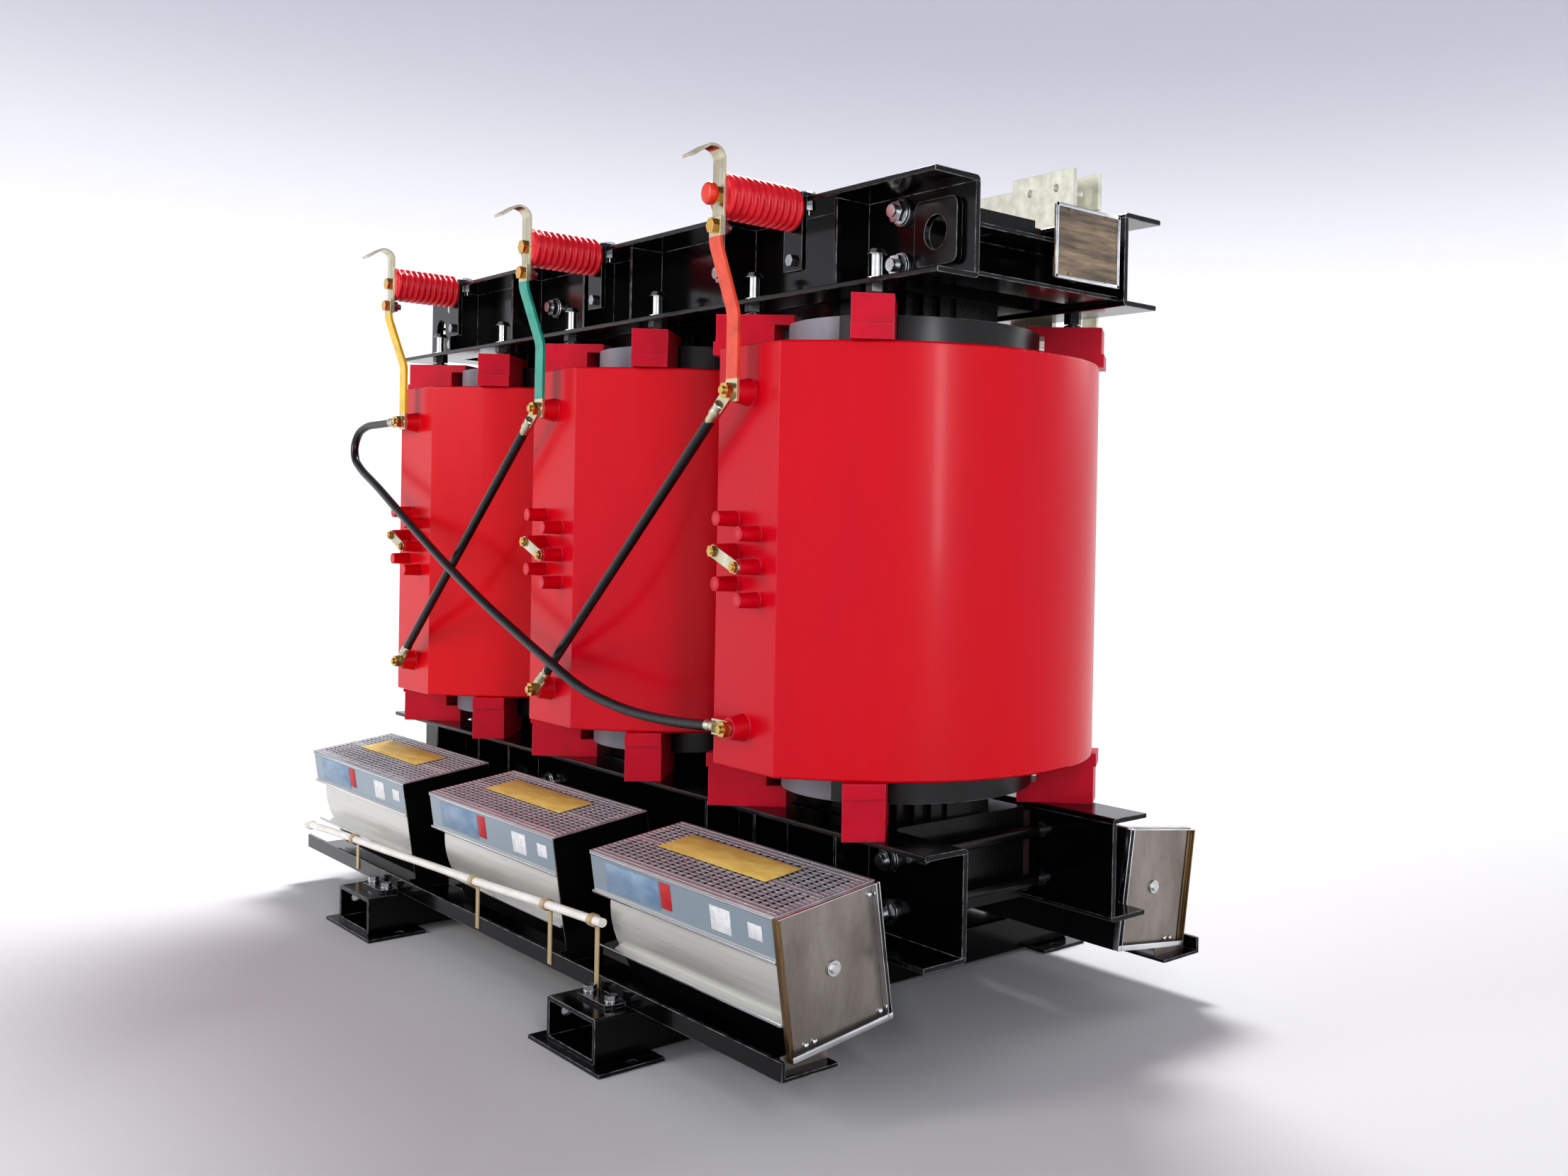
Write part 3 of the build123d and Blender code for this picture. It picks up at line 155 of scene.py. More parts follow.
@dataclass(frozen=True)
class Finish:
    """One real surface finish as a procedural material.

    Attributes:
        title: Material and how it was made.
        base: Main sRGB hex colour.
        shade: Second colour of the slow variation.
        metallic: 1 for bare metal.
        roughness: Middle roughness.
        spread: How far the roughness wanders.
        grain: Kind of fine pattern.
        grain_mm: Real size of the fine pattern.
        cloud_mm: Size of the slow colour variation.
        bump_mm: Height of the fine pattern.
        along: Axis that streaks follow.
        stretch: How much longer than wide the pattern is.
        specular: Strength of the mirror layer, 0.5 for plain plastic.
        coat: Clear gloss layer.
        coat_roughness: Roughness of that layer.
        edge: Colour of the painted highlight along the edges, which also stands for wear.
        edge_mm: Rounding radius of the edges.
        zones: Boxes with another finish.
    """

    title: str
    base: str
    shade: str
    metallic: float = 0.0
    roughness: float = 0.4
    spread: float = 0.1
    grain: Grain = Grain.MOULDED
    grain_mm: float = 2.0
    cloud_mm: float = 120.0
    bump_mm: float = 0.05
    along: Axis = Axis.Z
    stretch: float = 1.0
    specular: float = 0.5
    coat: float = 0.0
    coat_roughness: float = 0.08
    edge: str | None = None
    edge_mm: float = 1.5
    zones: tuple[Zone, ...] = ()

    def material(self) -> bpy.types.Material:
        """Makes the material on its first use and finds it again after that.

        Returns:
            The Blender material of this finish.
        """
        known = bpy.data.materials.get(self.title)
        if known:
            return known
        made = bpy.data.materials.new(self.title)
        made.use_nodes = True
        tree = made.node_tree
        tree.nodes.clear()
        place = add_node(tree, "TexCoord").outputs["Object"]
        pattern, height = self.pattern(tree, place)
        cloud = add_node(tree, "TexNoise", None,
                {"Vector": self.stretched(tree, place), "Scale": 1000 / self.cloud_mm,
                 "Detail": 5.0, "Roughness": 0.55})
        tone = add_node(tree, "MapRange", None, {0: cloud.outputs[0], 1: 0.34, 2: 0.66})
        colour = add_node(tree, "Mix", COLOURS,
                {0: tone.outputs[0], 6: linear(self.base), 7: linear(self.shade)}).outputs[2]
        colour = self.tint(tree, colour, pattern)
        rough = add_node(tree, "MapRange", None,
                {0: pattern, 1: 0.2, 2: 0.8, 3: max(0.02, self.roughness - self.spread),
                 4: self.roughness + self.spread}).outputs[0]
        metal = None
        for zone in self.zones:
            inside = self.inside(tree, place, zone)
            colour = add_node(tree, "Mix", COLOURS,
                    {0: inside, 6: colour, 7: linear(zone.colour)}).outputs[2]
            rough = add_node(tree, "Mix", None, {0: inside, 2: rough, 3: zone.roughness}).outputs[0]
            metal = add_node(tree, "Mix", None,
                    {0: inside, 2: self.metallic if metal is None else metal,
                     3: zone.metallic}).outputs[0]
        rounded = add_node(tree, "Bevel", {"samples": 4}, {"Radius": self.edge_mm * MM}).outputs[0]
        # painted highlight along the edges, partly wear, in the edge colour
        if self.edge:
            highlight_and_wear = self.edge_highlight_and_wear(tree, rounded, place)
            colour = add_node(tree, "Mix", COLOURS,
                    {0: highlight_and_wear, 6: colour, 7: linear(self.edge)}).outputs[2]
        bump = add_node(tree, "Bump", None, {"Height": height, "Distance": self.bump_mm * MM,
                "Strength": 1.0, "Normal": rounded}).outputs[0]
        shader = add_node(tree, "BsdfPrincipled", None, {
            "Base Color": colour, "Roughness": rough, "Normal": bump,
            "Metallic": self.metallic if metal is None else metal,
            "Specular IOR Level": self.specular, "Coat Weight": self.coat,
            "Coat Roughness": self.coat_roughness,
        })
        add_node(tree, "OutputMaterial", None, {"Surface": shader.outputs[0]})
        return made

    def stretched(self, tree: Tree, place: Socket) -> Socket:
        """Squeezes the coordinates so that a pattern runs along its axis.

        Args:
            tree: The material's node tree.
            place: Object coordinates.

        Returns:
            The coordinates to feed a texture.
        """
        scale = tuple(1 / self.stretch if part else 1.0 for part in self.along.value)
        return add_node(tree, "Mapping", None, {"Vector": place, "Scale": scale}).outputs[0]

    def pattern(self, tree: Tree, place: Socket) -> tuple[Socket, Socket]:
        """Makes the fine pattern of how the surface was made.

        Args:
            tree: The material's node tree.
            place: Object coordinates.

        Returns:
            The pattern for colour and gloss, and the height for bump.
        """
        scale = 1000 / self.grain_mm
        fine = add_node(tree, "TexNoise", None,
                {"Vector": self.stretched(tree, place), "Scale": scale, "Detail": 4.0,
                 "Roughness": 0.6})
        if self.grain is Grain.STACKED:
            # a wave texture repeats every pi / 10 of its scaled length
            lines = add_node(tree, "TexWave", {"bands_direction": "Y", "wave_profile": "SAW"},
                    {"Vector": place, "Scale": scale / 20 * math.pi, "Distortion": 0.6,
                     "Detail": 2.0})
            both = add_node(tree, "Math", PRODUCT, {0: lines.outputs["Fac"], 1: fine.outputs[0]})
            return both.outputs[0], lines.outputs["Fac"]
        return fine.outputs[0], fine.outputs[0]

    def tint(self, tree: Tree, colour: Socket, pattern: Socket) -> Socket:
        """Lets the fine pattern show in the colour where the real one does.

        Args:
            tree: The material's node tree.
            colour: The slow colour.
            pattern: The fine pattern.

        Returns:
            The tinted colour.
        """
        share = TINT_SHARE.get(self.grain, PLAIN_SHARE)
        level = add_node(tree, "MapRange", None,
                {0: pattern, 1: 0.25, 2: 0.75, 3: 1.0 - share, 4: 1.0 + share})
        value = add_node(tree, "HueSaturation", None, {"Color": colour, "Value": level.outputs[0]})
        return value.outputs[0]

    def inside(self, tree: Tree, place: Socket, zone: Zone) -> Socket:
        """Masks a box on the node.

        Args:
            tree: The material's node tree.
            place: Object coordinates.
            zone: The box.

        Returns:
            One inside the box and nought outside.
        """
        parts = add_node(tree, "SeparateXYZ", None, {0: place})
        mask = None
        for number, limits in enumerate((zone.x, zone.y, zone.z)):
            if limits is None:
                continue
            value = parts.outputs[number]
            if number == 1:
                value = add_node(tree, "Math", {"operation": "ABSOLUTE"}, {0: value}).outputs[0]
            middle, half = sum(limits) / 2, (limits[1] - limits[0]) / 2
            near = add_node(tree, "Math", {"operation": "COMPARE"},
                    {0: value, 1: middle, 2: half}).outputs[0]
            mask = near if mask is None else add_node(tree, "Math", PRODUCT,
                    {0: mask, 1: near}).outputs[0]
        return mask

    def edge_highlight_and_wear(self, tree: Tree, rounded: Socket, place: Socket) -> Socket:
        """Finds the edges, where the rounded normal leaves the flat one, for a painted edge
        highlight that also stands for wear, broken up in patches.

        Args:
            tree: The material's node tree.
            rounded: Normal with rounded edges.
            place: Object coordinates.

        Returns:
            Nought on faces and up to one along edges.
        """
        flat = add_node(tree, "NewGeometry").outputs["Normal"]
        dot = add_node(tree, "VectorMath", {"operation": "DOT_PRODUCT"}, {0: rounded, 1: flat})
        near = add_node(tree, "MapRange", None, {0: dot.outputs["Value"], 1: 0.985, 2: 0.88})
        patchy = add_node(tree, "TexNoise", None, {"Vector": place, "Scale": 60.0, "Detail": 3.0})
        rough = add_node(tree, "MapRange", None,
                {0: patchy.outputs[0], 1: 0.36, 2: 0.6, 3: 0.1, 4: 0.8})
        return add_node(tree, "Math", PRODUCT, {0: near.outputs[0], 1: rough.outputs[0]}).outputs[0]


# Each edge colour below is a painted highlight along the rounded edges, in patches that also stand
# for wear.
# Epoxy cast under vacuum in a polished mould: deep even red, a soft wet gloss, hardly any texture.
CAST_RESIN = Finish(
    "cast_epoxy_resin", "CE0012", "C00020", roughness=0.3, spread=0.03, grain=Grain.CAST,
    grain_mm=30, cloud_mm=420, bump_mm=0.05, stretch=4, specular=0.2, coat=0.08,
    coat_roughness=0.12, edge="F2607A", edge_mm=2.2)
# Same resin in small pressed blocks: pinker and less glossy.
PAD_RESIN = Finish(
    "pressed_resin_pad", "C8082E", "B40428", roughness=0.42, grain_mm=5, cloud_mm=60, bump_mm=0.06,
    specular=0.22, edge="E86A84", edge_mm=2.0)
# Moulded insulator: glossy, a little pink in the light.
INSULATOR_RESIN = Finish(
    "moulded_insulator_resin", "DC2434", "C81424", roughness=0.3, grain_mm=2.5, cloud_mm=30,
    bump_mm=0.04, specular=0.4, coat=0.2, edge_mm=0.8)
# Sprayed and stoved black enamel: deep black gloss, slight orange peel, pale edges that are a
# painted highlight with some wear.
BLACK_ENAMEL = Finish(
    "stoved_black_enamel", "050506", "090909", roughness=0.16, spread=0.05, grain=Grain.ENAMEL,
    grain_mm=5, cloud_mm=90, bump_mm=0.06, specular=0.3, coat=0.1, coat_roughness=0.05,
    edge="D2D4D6", edge_mm=2.0)
# Painted silicon-steel stack, drawn at 3 mm a sheet because the real 0.3 mm is too fine to show.
CORE_STACK = Finish(
    "painted_core_stack", "08080A", "101011", roughness=0.34, grain=Grain.STACKED, grain_mm=3,
    cloud_mm=80, bump_mm=0.5, specular=0.35, edge="3C3C40")
# Pressed board between core and clamp: brown and matt.
PRESSBOARD = Finish(
    "pressboard", "33201A", "26180F", roughness=0.7, grain_mm=1.2, cloud_mm=30, bump_mm=0.06,
    edge="5A3E2A")
# Low-voltage foil winding under prepreg: smooth grey on the lead side, its right-hand side painted
# black as a painted shade.
FOIL_WINDING = Finish(
    "prepreg_foil_winding", "8E8E96", "7A7C86", metallic=0.1, roughness=0.45, grain_mm=6,
    cloud_mm=150, bump_mm=0.05, stretch=6, edge="C0C2C8",
    # painted shade: black from 60 to 210 mm right of each phase's middle
    zones=tuple(Zone("060607", 0.0, 0.32, x=(centre + 0.060, centre + 0.21))
                for centre in STATIONS))
# Zinc-plated steel: cool bright metal with a slight haze.
ZINC_PLATE = Finish(
    "zinc_plated_steel", "D6D8D8", "BCC0C2", metallic=1.0, roughness=0.22, grain_mm=1.5,
    cloud_mm=14, bump_mm=0.02, edge="F6F6F4", edge_mm=0.8)
# Zinc nuts and washers on rods that are painted black between the clamps.
PAINTED_RODS = replace(
    ZINC_PLATE, title="zinc_rods_painted_between",
    zones=(Zone("070708", 0.0, 0.25, y=(0.0, 0.138)),))
# Zinc above the flange, blackened nut and foot below it.
JACK_ZINC = replace(
    ZINC_PLATE, title="zinc_jack_bolt", base="DCDEDC", shade="C2C6C6", roughness=0.2, edge="F8F8F6",
    zones=(Zone("0A0A0B", 0.2, 0.22, z=(1.130, 1.1625)),))
# Zinc inside, brass nuts at the insulator tips.
MIXED_BOLTS = replace(
    ZINC_PLATE, title="zinc_bolts_with_brass_tips", base="A8ABAE", shade="8C9094", roughness=0.27,
    edge="F0F0EC", zones=(Zone("D8B060", 1.0, 0.24, y=(0.3705, 0.42)),))
# Turned brass: warm yellow metal, its flush tap inserts capped with red resin.
TURNED_BRASS = Finish(
    "turned_brass", "D8BA74", "BC9A52", metallic=1.0, roughness=0.25, grain_mm=1.0, cloud_mm=10,
    bump_mm=0.02, edge="F6E8B8", edge_mm=0.8,
    zones=(Zone("C0102A", 0.0, 0.35, y=(0.30, 0.3493), z=(0.6, 0.9)),))
# Tinned copper bar: silver, with a painted highlight at its edges, warm where the copper shows
# through wear.
TINNED_COPPER = Finish(
    "tinned_copper_bar", "D2CDB8", "B4AC90", metallic=1.0, roughness=0.25, grain=Grain.BRUSHED,
    grain_mm=1.6, cloud_mm=24, bump_mm=0.02, stretch=8, edge="F6EAC0", edge_mm=0.8)
# Tinned aluminium flags: softly mottled silver.
TINNED_FLAG = Finish(
    "tinned_terminal_flag", "DCDCCE", "C0C2B2", metallic=0.6, roughness=0.4, spread=0.08,
    grain_mm=4, cloud_mm=22, bump_mm=0.06, edge="F0F0EA", edge_mm=1.2)
# Fan casing: painted blue-grey band on top, drawn satin panel below, black underside.
FAN_CASING = Finish(
    "fan_casing_sheet", "DADAD4", "C0C0BA", metallic=0.55, roughness=0.3, spread=0.04,
    grain=Grain.BRUSHED, grain_mm=6, cloud_mm=220, bump_mm=0.01, along=Axis.X, stretch=40,
    edge="FAFAFA", edge_mm=0.8,
    zones=(Zone("08080A", 0.0, 0.3, z=(0.0, 0.1372)),
           Zone("93A2AC", 0.25, 0.36, y=(0.385, 0.45), z=(0.2285, 0.30)),
           Zone("0A0A0C", 0.0, 0.4, y=(0.0, 0.32))))
# Fan inlet: galvanised expanded sheet, mottled darker and finely streaked along its length.
FAN_INLET = Finish(
    "fan_inlet_sheet", "CFCDCE", "A5A1A6", metallic=0.6, roughness=0.4, spread=0.08,
    grain=Grain.BRUSHED, grain_mm=4, cloud_mm=34, bump_mm=0.25, along=Axis.X, stretch=14,
    edge="F0F0F0", edge_mm=0.6)
# Fan ends: bare rolled sheet at the right end of each row, black ones between.
FAN_END = Finish(
    "fan_end_sheet", "A39D96", "857E77", metallic=0.85, roughness=0.32, spread=0.06,
    grain=Grain.BRUSHED, grain_mm=5, cloud_mm=60, bump_mm=0.03, along=Axis.Z, stretch=3,
    edge="D8CCB4", edge_mm=1.2,
    zones=(Zone("08080A", 0.0, 0.25, x=(-1.0, 0.62)), Zone("D4D6D6", 1.0, 0.2, x=(0.8945, 0.91))))
# Bronzed edge strip of the bare fan ends.
FAN_STRIP = Finish(
    "bronzed_edge_strip", "8C7658", "6A563C", metallic=0.9, roughness=0.35, grain=Grain.BRUSHED,
    grain_mm=2, cloud_mm=20, bump_mm=0.05, stretch=8, edge="CDB994", edge_mm=0.6)
# Folded bright trim of the casings.
BRIGHT_TRIM = Finish(
    "bright_folded_trim", "E6E8E8", "CDD1D3", metallic=1.0, roughness=0.2, grain=Grain.BRUSHED,
    grain_mm=2, cloud_mm=60, bump_mm=0.02, along=Axis.X, stretch=20, edge_mm=0.6)
# Shaded-pole motor: dull laminated steel.
MOTOR_STEEL = Finish(
    "motor_steel", "4A4644", "322F2E", metallic=0.9, roughness=0.45, grain_mm=2, cloud_mm=12,
    bump_mm=0.1, edge="9A9896", edge_mm=0.8)
# Enamelled winding wire on the motor: rosy copper.
MOTOR_WIRE = Finish(
    "enamelled_motor_wire", "B22A5A", "8C1C40", roughness=0.35, grain=Grain.STACKED, grain_mm=1.6,
    cloud_mm=9, bump_mm=0.5, coat=0.3)
# Rolled aluminium rotor blades: plain and bright.
ROTOR_ALUMINIUM = Finish(
    "rolled_rotor_aluminium", "B4B6B8", "94979A", metallic=1.0, roughness=0.34, grain=Grain.BRUSHED,
    grain_mm=2, cloud_mm=40, bump_mm=0.02, along=Axis.X, stretch=12, edge_mm=0.4)
# Moulded white nylon tube with cream straps, each half a strap's width either side of its station.
STRAP_HALF = 0.0062
STRAP_STATIONS = (-0.612, -0.030, 0.250, 0.410)
WHITE_NYLON = Finish(
    "white_nylon_tube", "F0EEE8", "E2DED4", roughness=0.42, grain_mm=3, cloud_mm=50, bump_mm=0.05,
    zones=tuple(Zone("C2AE88", 0.3, 0.4, x=(x - STRAP_HALF, x + STRAP_HALF))
                for x in STRAP_STATIONS))
# Vinyl drawn over a rigid bar: smooth black with soft gloss.
BLACK_SLEEVE = Finish(
    "black_vinyl_sleeve", "0C0D10", "15161A", roughness=0.3, grain_mm=2.5, cloud_mm=30,
    bump_mm=0.04, specular=0.35, edge_mm=0.6)
# Printed aluminium rating plate: brown ink wiped in level bands, no lettering.
PLATE_INK = Finish(
    "printed_rating_plate", "8E7C66", "5E5448", metallic=0.3, roughness=0.45, grain=Grain.PRINTED,
    grain_mm=5, cloud_mm=14, bump_mm=0.05, along=Axis.Y, stretch=9, edge="D8D0BE", edge_mm=0.8)
# Paper labels: matt, slightly soiled.
YELLOW_LABEL = Finish(
    "yellow_paper_label", "EED27C", "DCB85C", roughness=0.6, grain_mm=3, cloud_mm=16, bump_mm=0.03,
    along=Axis.X, stretch=3)
WHITE_LABEL = Finish(
    "white_paper_label", "ECECEC", "D4D6DA", roughness=0.55, grain_mm=2, cloud_mm=9, bump_mm=0.02)
BLUE_LABEL = Finish(
    "blue_film_label", "8FA6BC", "6C87A4", roughness=0.4, grain_mm=2, cloud_mm=30, bump_mm=0.02,
    along=Axis.X, stretch=2)
RED_LABEL = Finish(
    "red_paper_label", "C8202C", "B01822", roughness=0.5, grain_mm=2, cloud_mm=9, bump_mm=0.02)
# Red cap nut at one insulator tip.
RED_CAP = Finish(
    "red_cap_resin", "E03A1C", "C42A14", roughness=0.35, grain_mm=2, cloud_mm=12, bump_mm=0.04,
    edge_mm=0.8)


def sleeve(title: str, base: str, shade: str) -> Finish:
    """Heat-shrunk polyolefin on a copper strap: even colour, soft gloss, bare tinned ends.

    Args:
        title: Name of the material.
        base: Main sRGB hex colour.
        shade: Darker colour.

    Returns:
        The finish.
    """
    ends = tuple(Zone("CFC3A2", 1.0, 0.26, z=bare) for bare in ((0.97, 1.019), (1.224, 1.26)))
    return Finish(title, base, shade, roughness=0.36, grain_mm=2.5, cloud_mm=26, bump_mm=0.05,
                  coat=0.2, edge_mm=1.2, zones=ends)


def lugged(title: str, boxes: tuple[tuple[Range, Range], ...]) -> Finish:
    """Black sleeve with tinned lugs at both ends.

    Args:
        title: Name of the material.
        boxes: X and Z range of each bare lug.

    Returns:
        The finish.
    """
    zones = tuple(Zone("C6BCA0", 1.0, 0.24, x=x, z=z) for x, z in boxes)
    return replace(BLACK_SLEEVE, title=title, specular=0.5, zones=zones)


# ---- pieces
def finished(name: str, shape: Shape, finish: Finish,
             smooth_deg: float = 38) -> Piece:
    """Turns a bmesh into a piece that rides on the transformer.

    Args:
        name: Piece name.
        shape: The bmesh, freed here.
        finish: Its surface.
        smooth_deg: Edges sharper than this stay sharp.

    Returns:
        The new object.
    """
    bmesh.ops.remove_doubles(shape, verts=shape.verts, dist=1e-6)
    bmesh.ops.recalc_face_normals(shape, faces=shape.faces)
    limit = math.radians(smooth_deg)
    for face in shape.faces:
        face.smooth = True
    for edge in shape.edges:
        edge.smooth = len(edge.link_faces) == 2 and edge.calc_face_angle(0.0) < limit
    mesh = bpy.data.meshes.new(name)
    shape.to_mesh(mesh)
    shape.free()
    piece = bpy.data.objects.new(name, mesh)
    bpy.context.scene.collection.objects.link(piece)
    mesh.materials.append(finish.material())
    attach(piece, BODY)
    log.info("piece %s: %d faces", name, len(mesh.polygons))
    return piece


def bar(shape: Shape, size: Point, round_off: float, place: Matrix) -> None:
    """Adds a rounded rectangular bar.

    Args:
        shape: Mesh to add to.
        size: Lengths along its own axes in metres.
        round_off: Edge radius in metres.
        place: Where its middle goes.
    """
    made = bmesh.ops.create_cube(shape, size=1.0)["verts"]
    bmesh.ops.scale(shape, vec=size, verts=made)
    edges = list({edge for vert in made for edge in vert.link_edges})
    cut = bmesh.ops.bevel(shape, geom=edges, offset=round_off, offset_type="OFFSET", segments=2,
            profile=0.5, affect="EDGES", material=-1)
    verts = list({vert for vert in made if vert.is_valid} | set(cut["verts"]))
    bmesh.ops.transform(shape, matrix=place, verts=verts)


def lathe(shape: Shape, outline: list[Range], place: Matrix, steps: int = 32) -> None:
    """Spins an outline of radius and height round the Z axis of place.

    Args:
        shape: Mesh to add to.
        outline: Radius and height of each corner, open or closed by its last point.
        place: Where the axis goes.
        steps: Facets round the axis.
    """
    verts = [shape.verts.new((radius, 0.0, height)) for radius, height in outline]
    edges = [shape.edges.new(pair) for pair in zip(verts, verts[1:])]
    spun = bmesh.ops.spin(shape, geom=verts + edges, cent=(0, 0, 0), axis=(0, 0, 1),
            angle=2 * math.pi, steps=steps, use_merge=True)
    # the spun vertices are all those joined to the outline
    found = set(verts)
    queue = list(verts)
    while queue:
        for edge in queue.pop().link_edges:
            for vert in edge.verts:
                if vert not in found:
                    found.add(vert)
                    queue.append(vert)
    bmesh.ops.remove_doubles(shape, verts=list(found), dist=1e-7)
    bmesh.ops.transform(shape, matrix=place, verts=[vert for vert in found if vert.is_valid])


def turned(point: Point, toward: Point) -> Matrix:
    """Place whose Z axis points a given way.

    Args:
        point: Origin in metres.
        toward: Direction of the Z axis.

    Returns:
        The matrix.
    """
    return Matrix.Translation(point) @ Vector(toward).to_track_quat("Z", "Y").to_matrix().to_4x4()


@dataclass
class CarriedOver:
    """CAD nodes whose shape stays and whose surface is dressed.

    Attributes:
        finishes: Node name or its beginning to a finish.
    """

    finishes: dict[str, Finish] = field(default_factory=lambda: {
        "hv_coil": CAST_RESIN, "coil_pads": PAD_RESIN, "lv_insulators": PAD_RESIN,
        "hv_insulator": INSULATOR_RESIN, "lv_coil": FOIL_WINDING, "core_limb": CORE_STACK,
        "core_yoke": CORE_STACK, "yoke_insulation": PRESSBOARD,
        **dict.fromkeys(("upper_clamp", "lower_clamp", "upper_end_ties", "insulator_brackets",
                         "lifting_lugs", "foot", "fan_rail"), BLACK_ENAMEL),
        "tie_rods": PAINTED_RODS, "jack_bolts": JACK_ZINC,
        "frame_bolts": ZINC_PLATE, "terminal_bolts": MIXED_BOLTS, "hv_studs": TURNED_BRASS,
        "tap_links": TINNED_COPPER, "hv_terminal": TINNED_COPPER,
        "lv_terminal_bars": TINNED_FLAG, "lv_neutral_bar": TINNED_FLAG,
        "phase_link_a": sleeve("yellow_shrink_sleeve", "E6C024", "D2A814"),
        "phase_link_b": sleeve("green_shrink_sleeve", "0E9C86", "0A8070"),
        "phase_link_c": sleeve("orange_shrink_sleeve", "E04A28", "C43A1C"),
        "delta_link_ac": lugged("ac_link_sleeve",
                (((-0.676, -0.60), (0.97, 1.03)), ((0.592, 0.66), (0.48, 0.52)))),
        "delta_link_ba": lugged("ba_link_sleeve",
                (((-0.05, 0.05), (0.955, 1.02)), ((-0.66, -0.59), (0.48, 0.546)))),
        "delta_link_cb": lugged("cb_link_sleeve",
                (((0.58, 0.66), (0.955, 1.02)), ((-0.03, 0.05), (0.48, 0.546)))),
        "fan_casings": FAN_CASING, "fan_grilles": FAN_INLET, "fan_end_plates": FAN_END,
        "fan_motors": MOTOR_STEEL,
        "fan_impeller": ROTOR_ALUMINIUM, "fan_conduit": WHITE_NYLON, "rating_plate": PLATE_INK,
    })

    def dress(self) -> None:
        """Gives each CAD node the finish whose name fits it best."""
        for name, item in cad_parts.items():
            best = max((key for key in self.finishes if name.startswith(key)), key=len)
            item.data.materials.clear()
            item.data.materials.append(self.finishes[best].material())
            log.info("node %s: %s", name, self.finishes[best].title)


@dataclass
class PostInsulator:
    """Ribbed resin post that holds one high-voltage terminal.

    Attributes:
        phase: Letter of the phase.
        ribs: Number of sheds.
        core_r: Radius between sheds in metres.
        bore_r: Radius of the bolt hole.
        shed: Shares of pitch and swell along a shed's outline.
    """

    phase: str
    ribs: int = 11
    core_r: float = 0.0296
    bore_r: float = 0.0062
    shed: tuple[Range, ...] = ((0.1, 0.0), (0.2, 0.45), (0.32, 0.85), (0.5, 1.0), (0.68, 0.85),
            (0.8, 0.45), (0.9, 0.0))

    def build(self) -> Piece:
        """Lathes the post inside its CAD node's box.

        Returns:
            The piece that stands for the node.
        """
        node = "hv_insulator_" + self.phase
        low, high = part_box(node)
        length, radius = high.y - low.y, (high.z - low.z) / 2
        pitch = length / self.ribs
        outline = [(self.bore_r, 0.0), (self.core_r, 0.0)]
        for rib in range(self.ribs):
            for share, swell in self.shed:
                outline.append((self.core_r + (radius - self.core_r) * swell,
                        (rib + share) * pitch))
        outline += [(self.core_r, length - 0.0005), (self.core_r - 0.004, length),
                    (self.bore_r, length)]
        shape = bmesh.new()
        root = ((low.x + high.x) / 2, high.y, (low.z + high.z) / 2)
        lathe(shape, outline, turned(root, (0, -1, 0)), 56)
        piece = finished("post_insulator_" + self.phase, shape, INSULATOR_RESIN, 60)
        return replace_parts(piece, node)


@dataclass
class CapNut:
    """Domed red cap on the tip bolt of the right-hand insulator.

    Attributes:
        x: Station of the phase in metres.
        radius: Cap radius.
        length: Cap length.
        bore_r: Radius where it meets the bolt.
        stand_off: Distance from the insulator's tip to the cap's foot.
    """

    x: float = PITCH
    radius: float = 0.0165
    length: float = 0.012
    bore_r: float = 0.0085
    stand_off: float = 0.0125

    def build(self) -> Piece:
        """Turns the cap round the end of the bolt.

        Returns:
            The piece.
        """
        post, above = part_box("hv_insulator_c")
        start = post.y - self.stand_off
        rim, top = self.radius, self.length
        outline = [(self.bore_r, 0.0), (rim - 0.001, 0.0), (rim, 0.001), (rim, top - 0.004),
                   (rim - 0.002, top - 0.001), (rim - 0.005, top), (0.0, top)]
        shape = bmesh.new()
        lathe(shape, outline, turned((self.x, start, (post.z + above.z) / 2), (0, -1, 0)), 32)
        return finished("tip_cap", shape, RED_CAP, 50)


@dataclass
class BoltStacks:
    """Washers under the nuts of the through rods.

    Attributes:
        web_out: Outer face of the clamp webs in metres.
        levels: Heights of the upper and the lower rods.
        inner_x: Station of the rods between the coils.
        end_x: Station of the rods at the ends.
        end_dz: Half the spacing of an end's two rods.
        bore_r: Washer bore radius.
        thick: Washer thickness.
        chamfer: Rounding of its rim.
        stack: Start and radius of each washer, out from the web.
    """

    web_out: float = 0.159
    levels: Range = (1.232, 0.268)
    inner_x: float = 0.317
    end_x: float = 0.8
    end_dz: float = 0.04
    bore_r: float = 0.0101
    thick: float = 0.0024
    chamfer: float = 0.0006
    stack: tuple[Range, ...] = ((0.0042, 0.0212), (0.0075, 0.0195))

    def build(self) -> Piece:
        """Makes two extra washers at each rod end.

        Returns:
            The piece.
        """
        shape = bmesh.new()
        bore, thick, cut = self.bore_r, self.thick, self.chamfer
        for level in self.levels:
            places = [(-self.inner_x, level), (self.inner_x, level)]
            places += [(x, level + dz) for x in (-self.end_x, self.end_x)
                    for dz in (-self.end_dz, self.end_dz)]
            for x, z in places:
                for side in SIDES:
                    for start, radius in self.stack:
                        rim = [(bore, 0.0), (radius - cut, 0.0), (radius, cut),
                               (radius, thick - cut),
                               (radius - cut, thick), (bore, thick), (bore, 0.0)]
                        lathe(shape, rim, turned((x, side * (self.web_out + start), z),
                                (0, side, 0)), 24)
        return finished("rod_washers", shape, ZINC_PLATE)


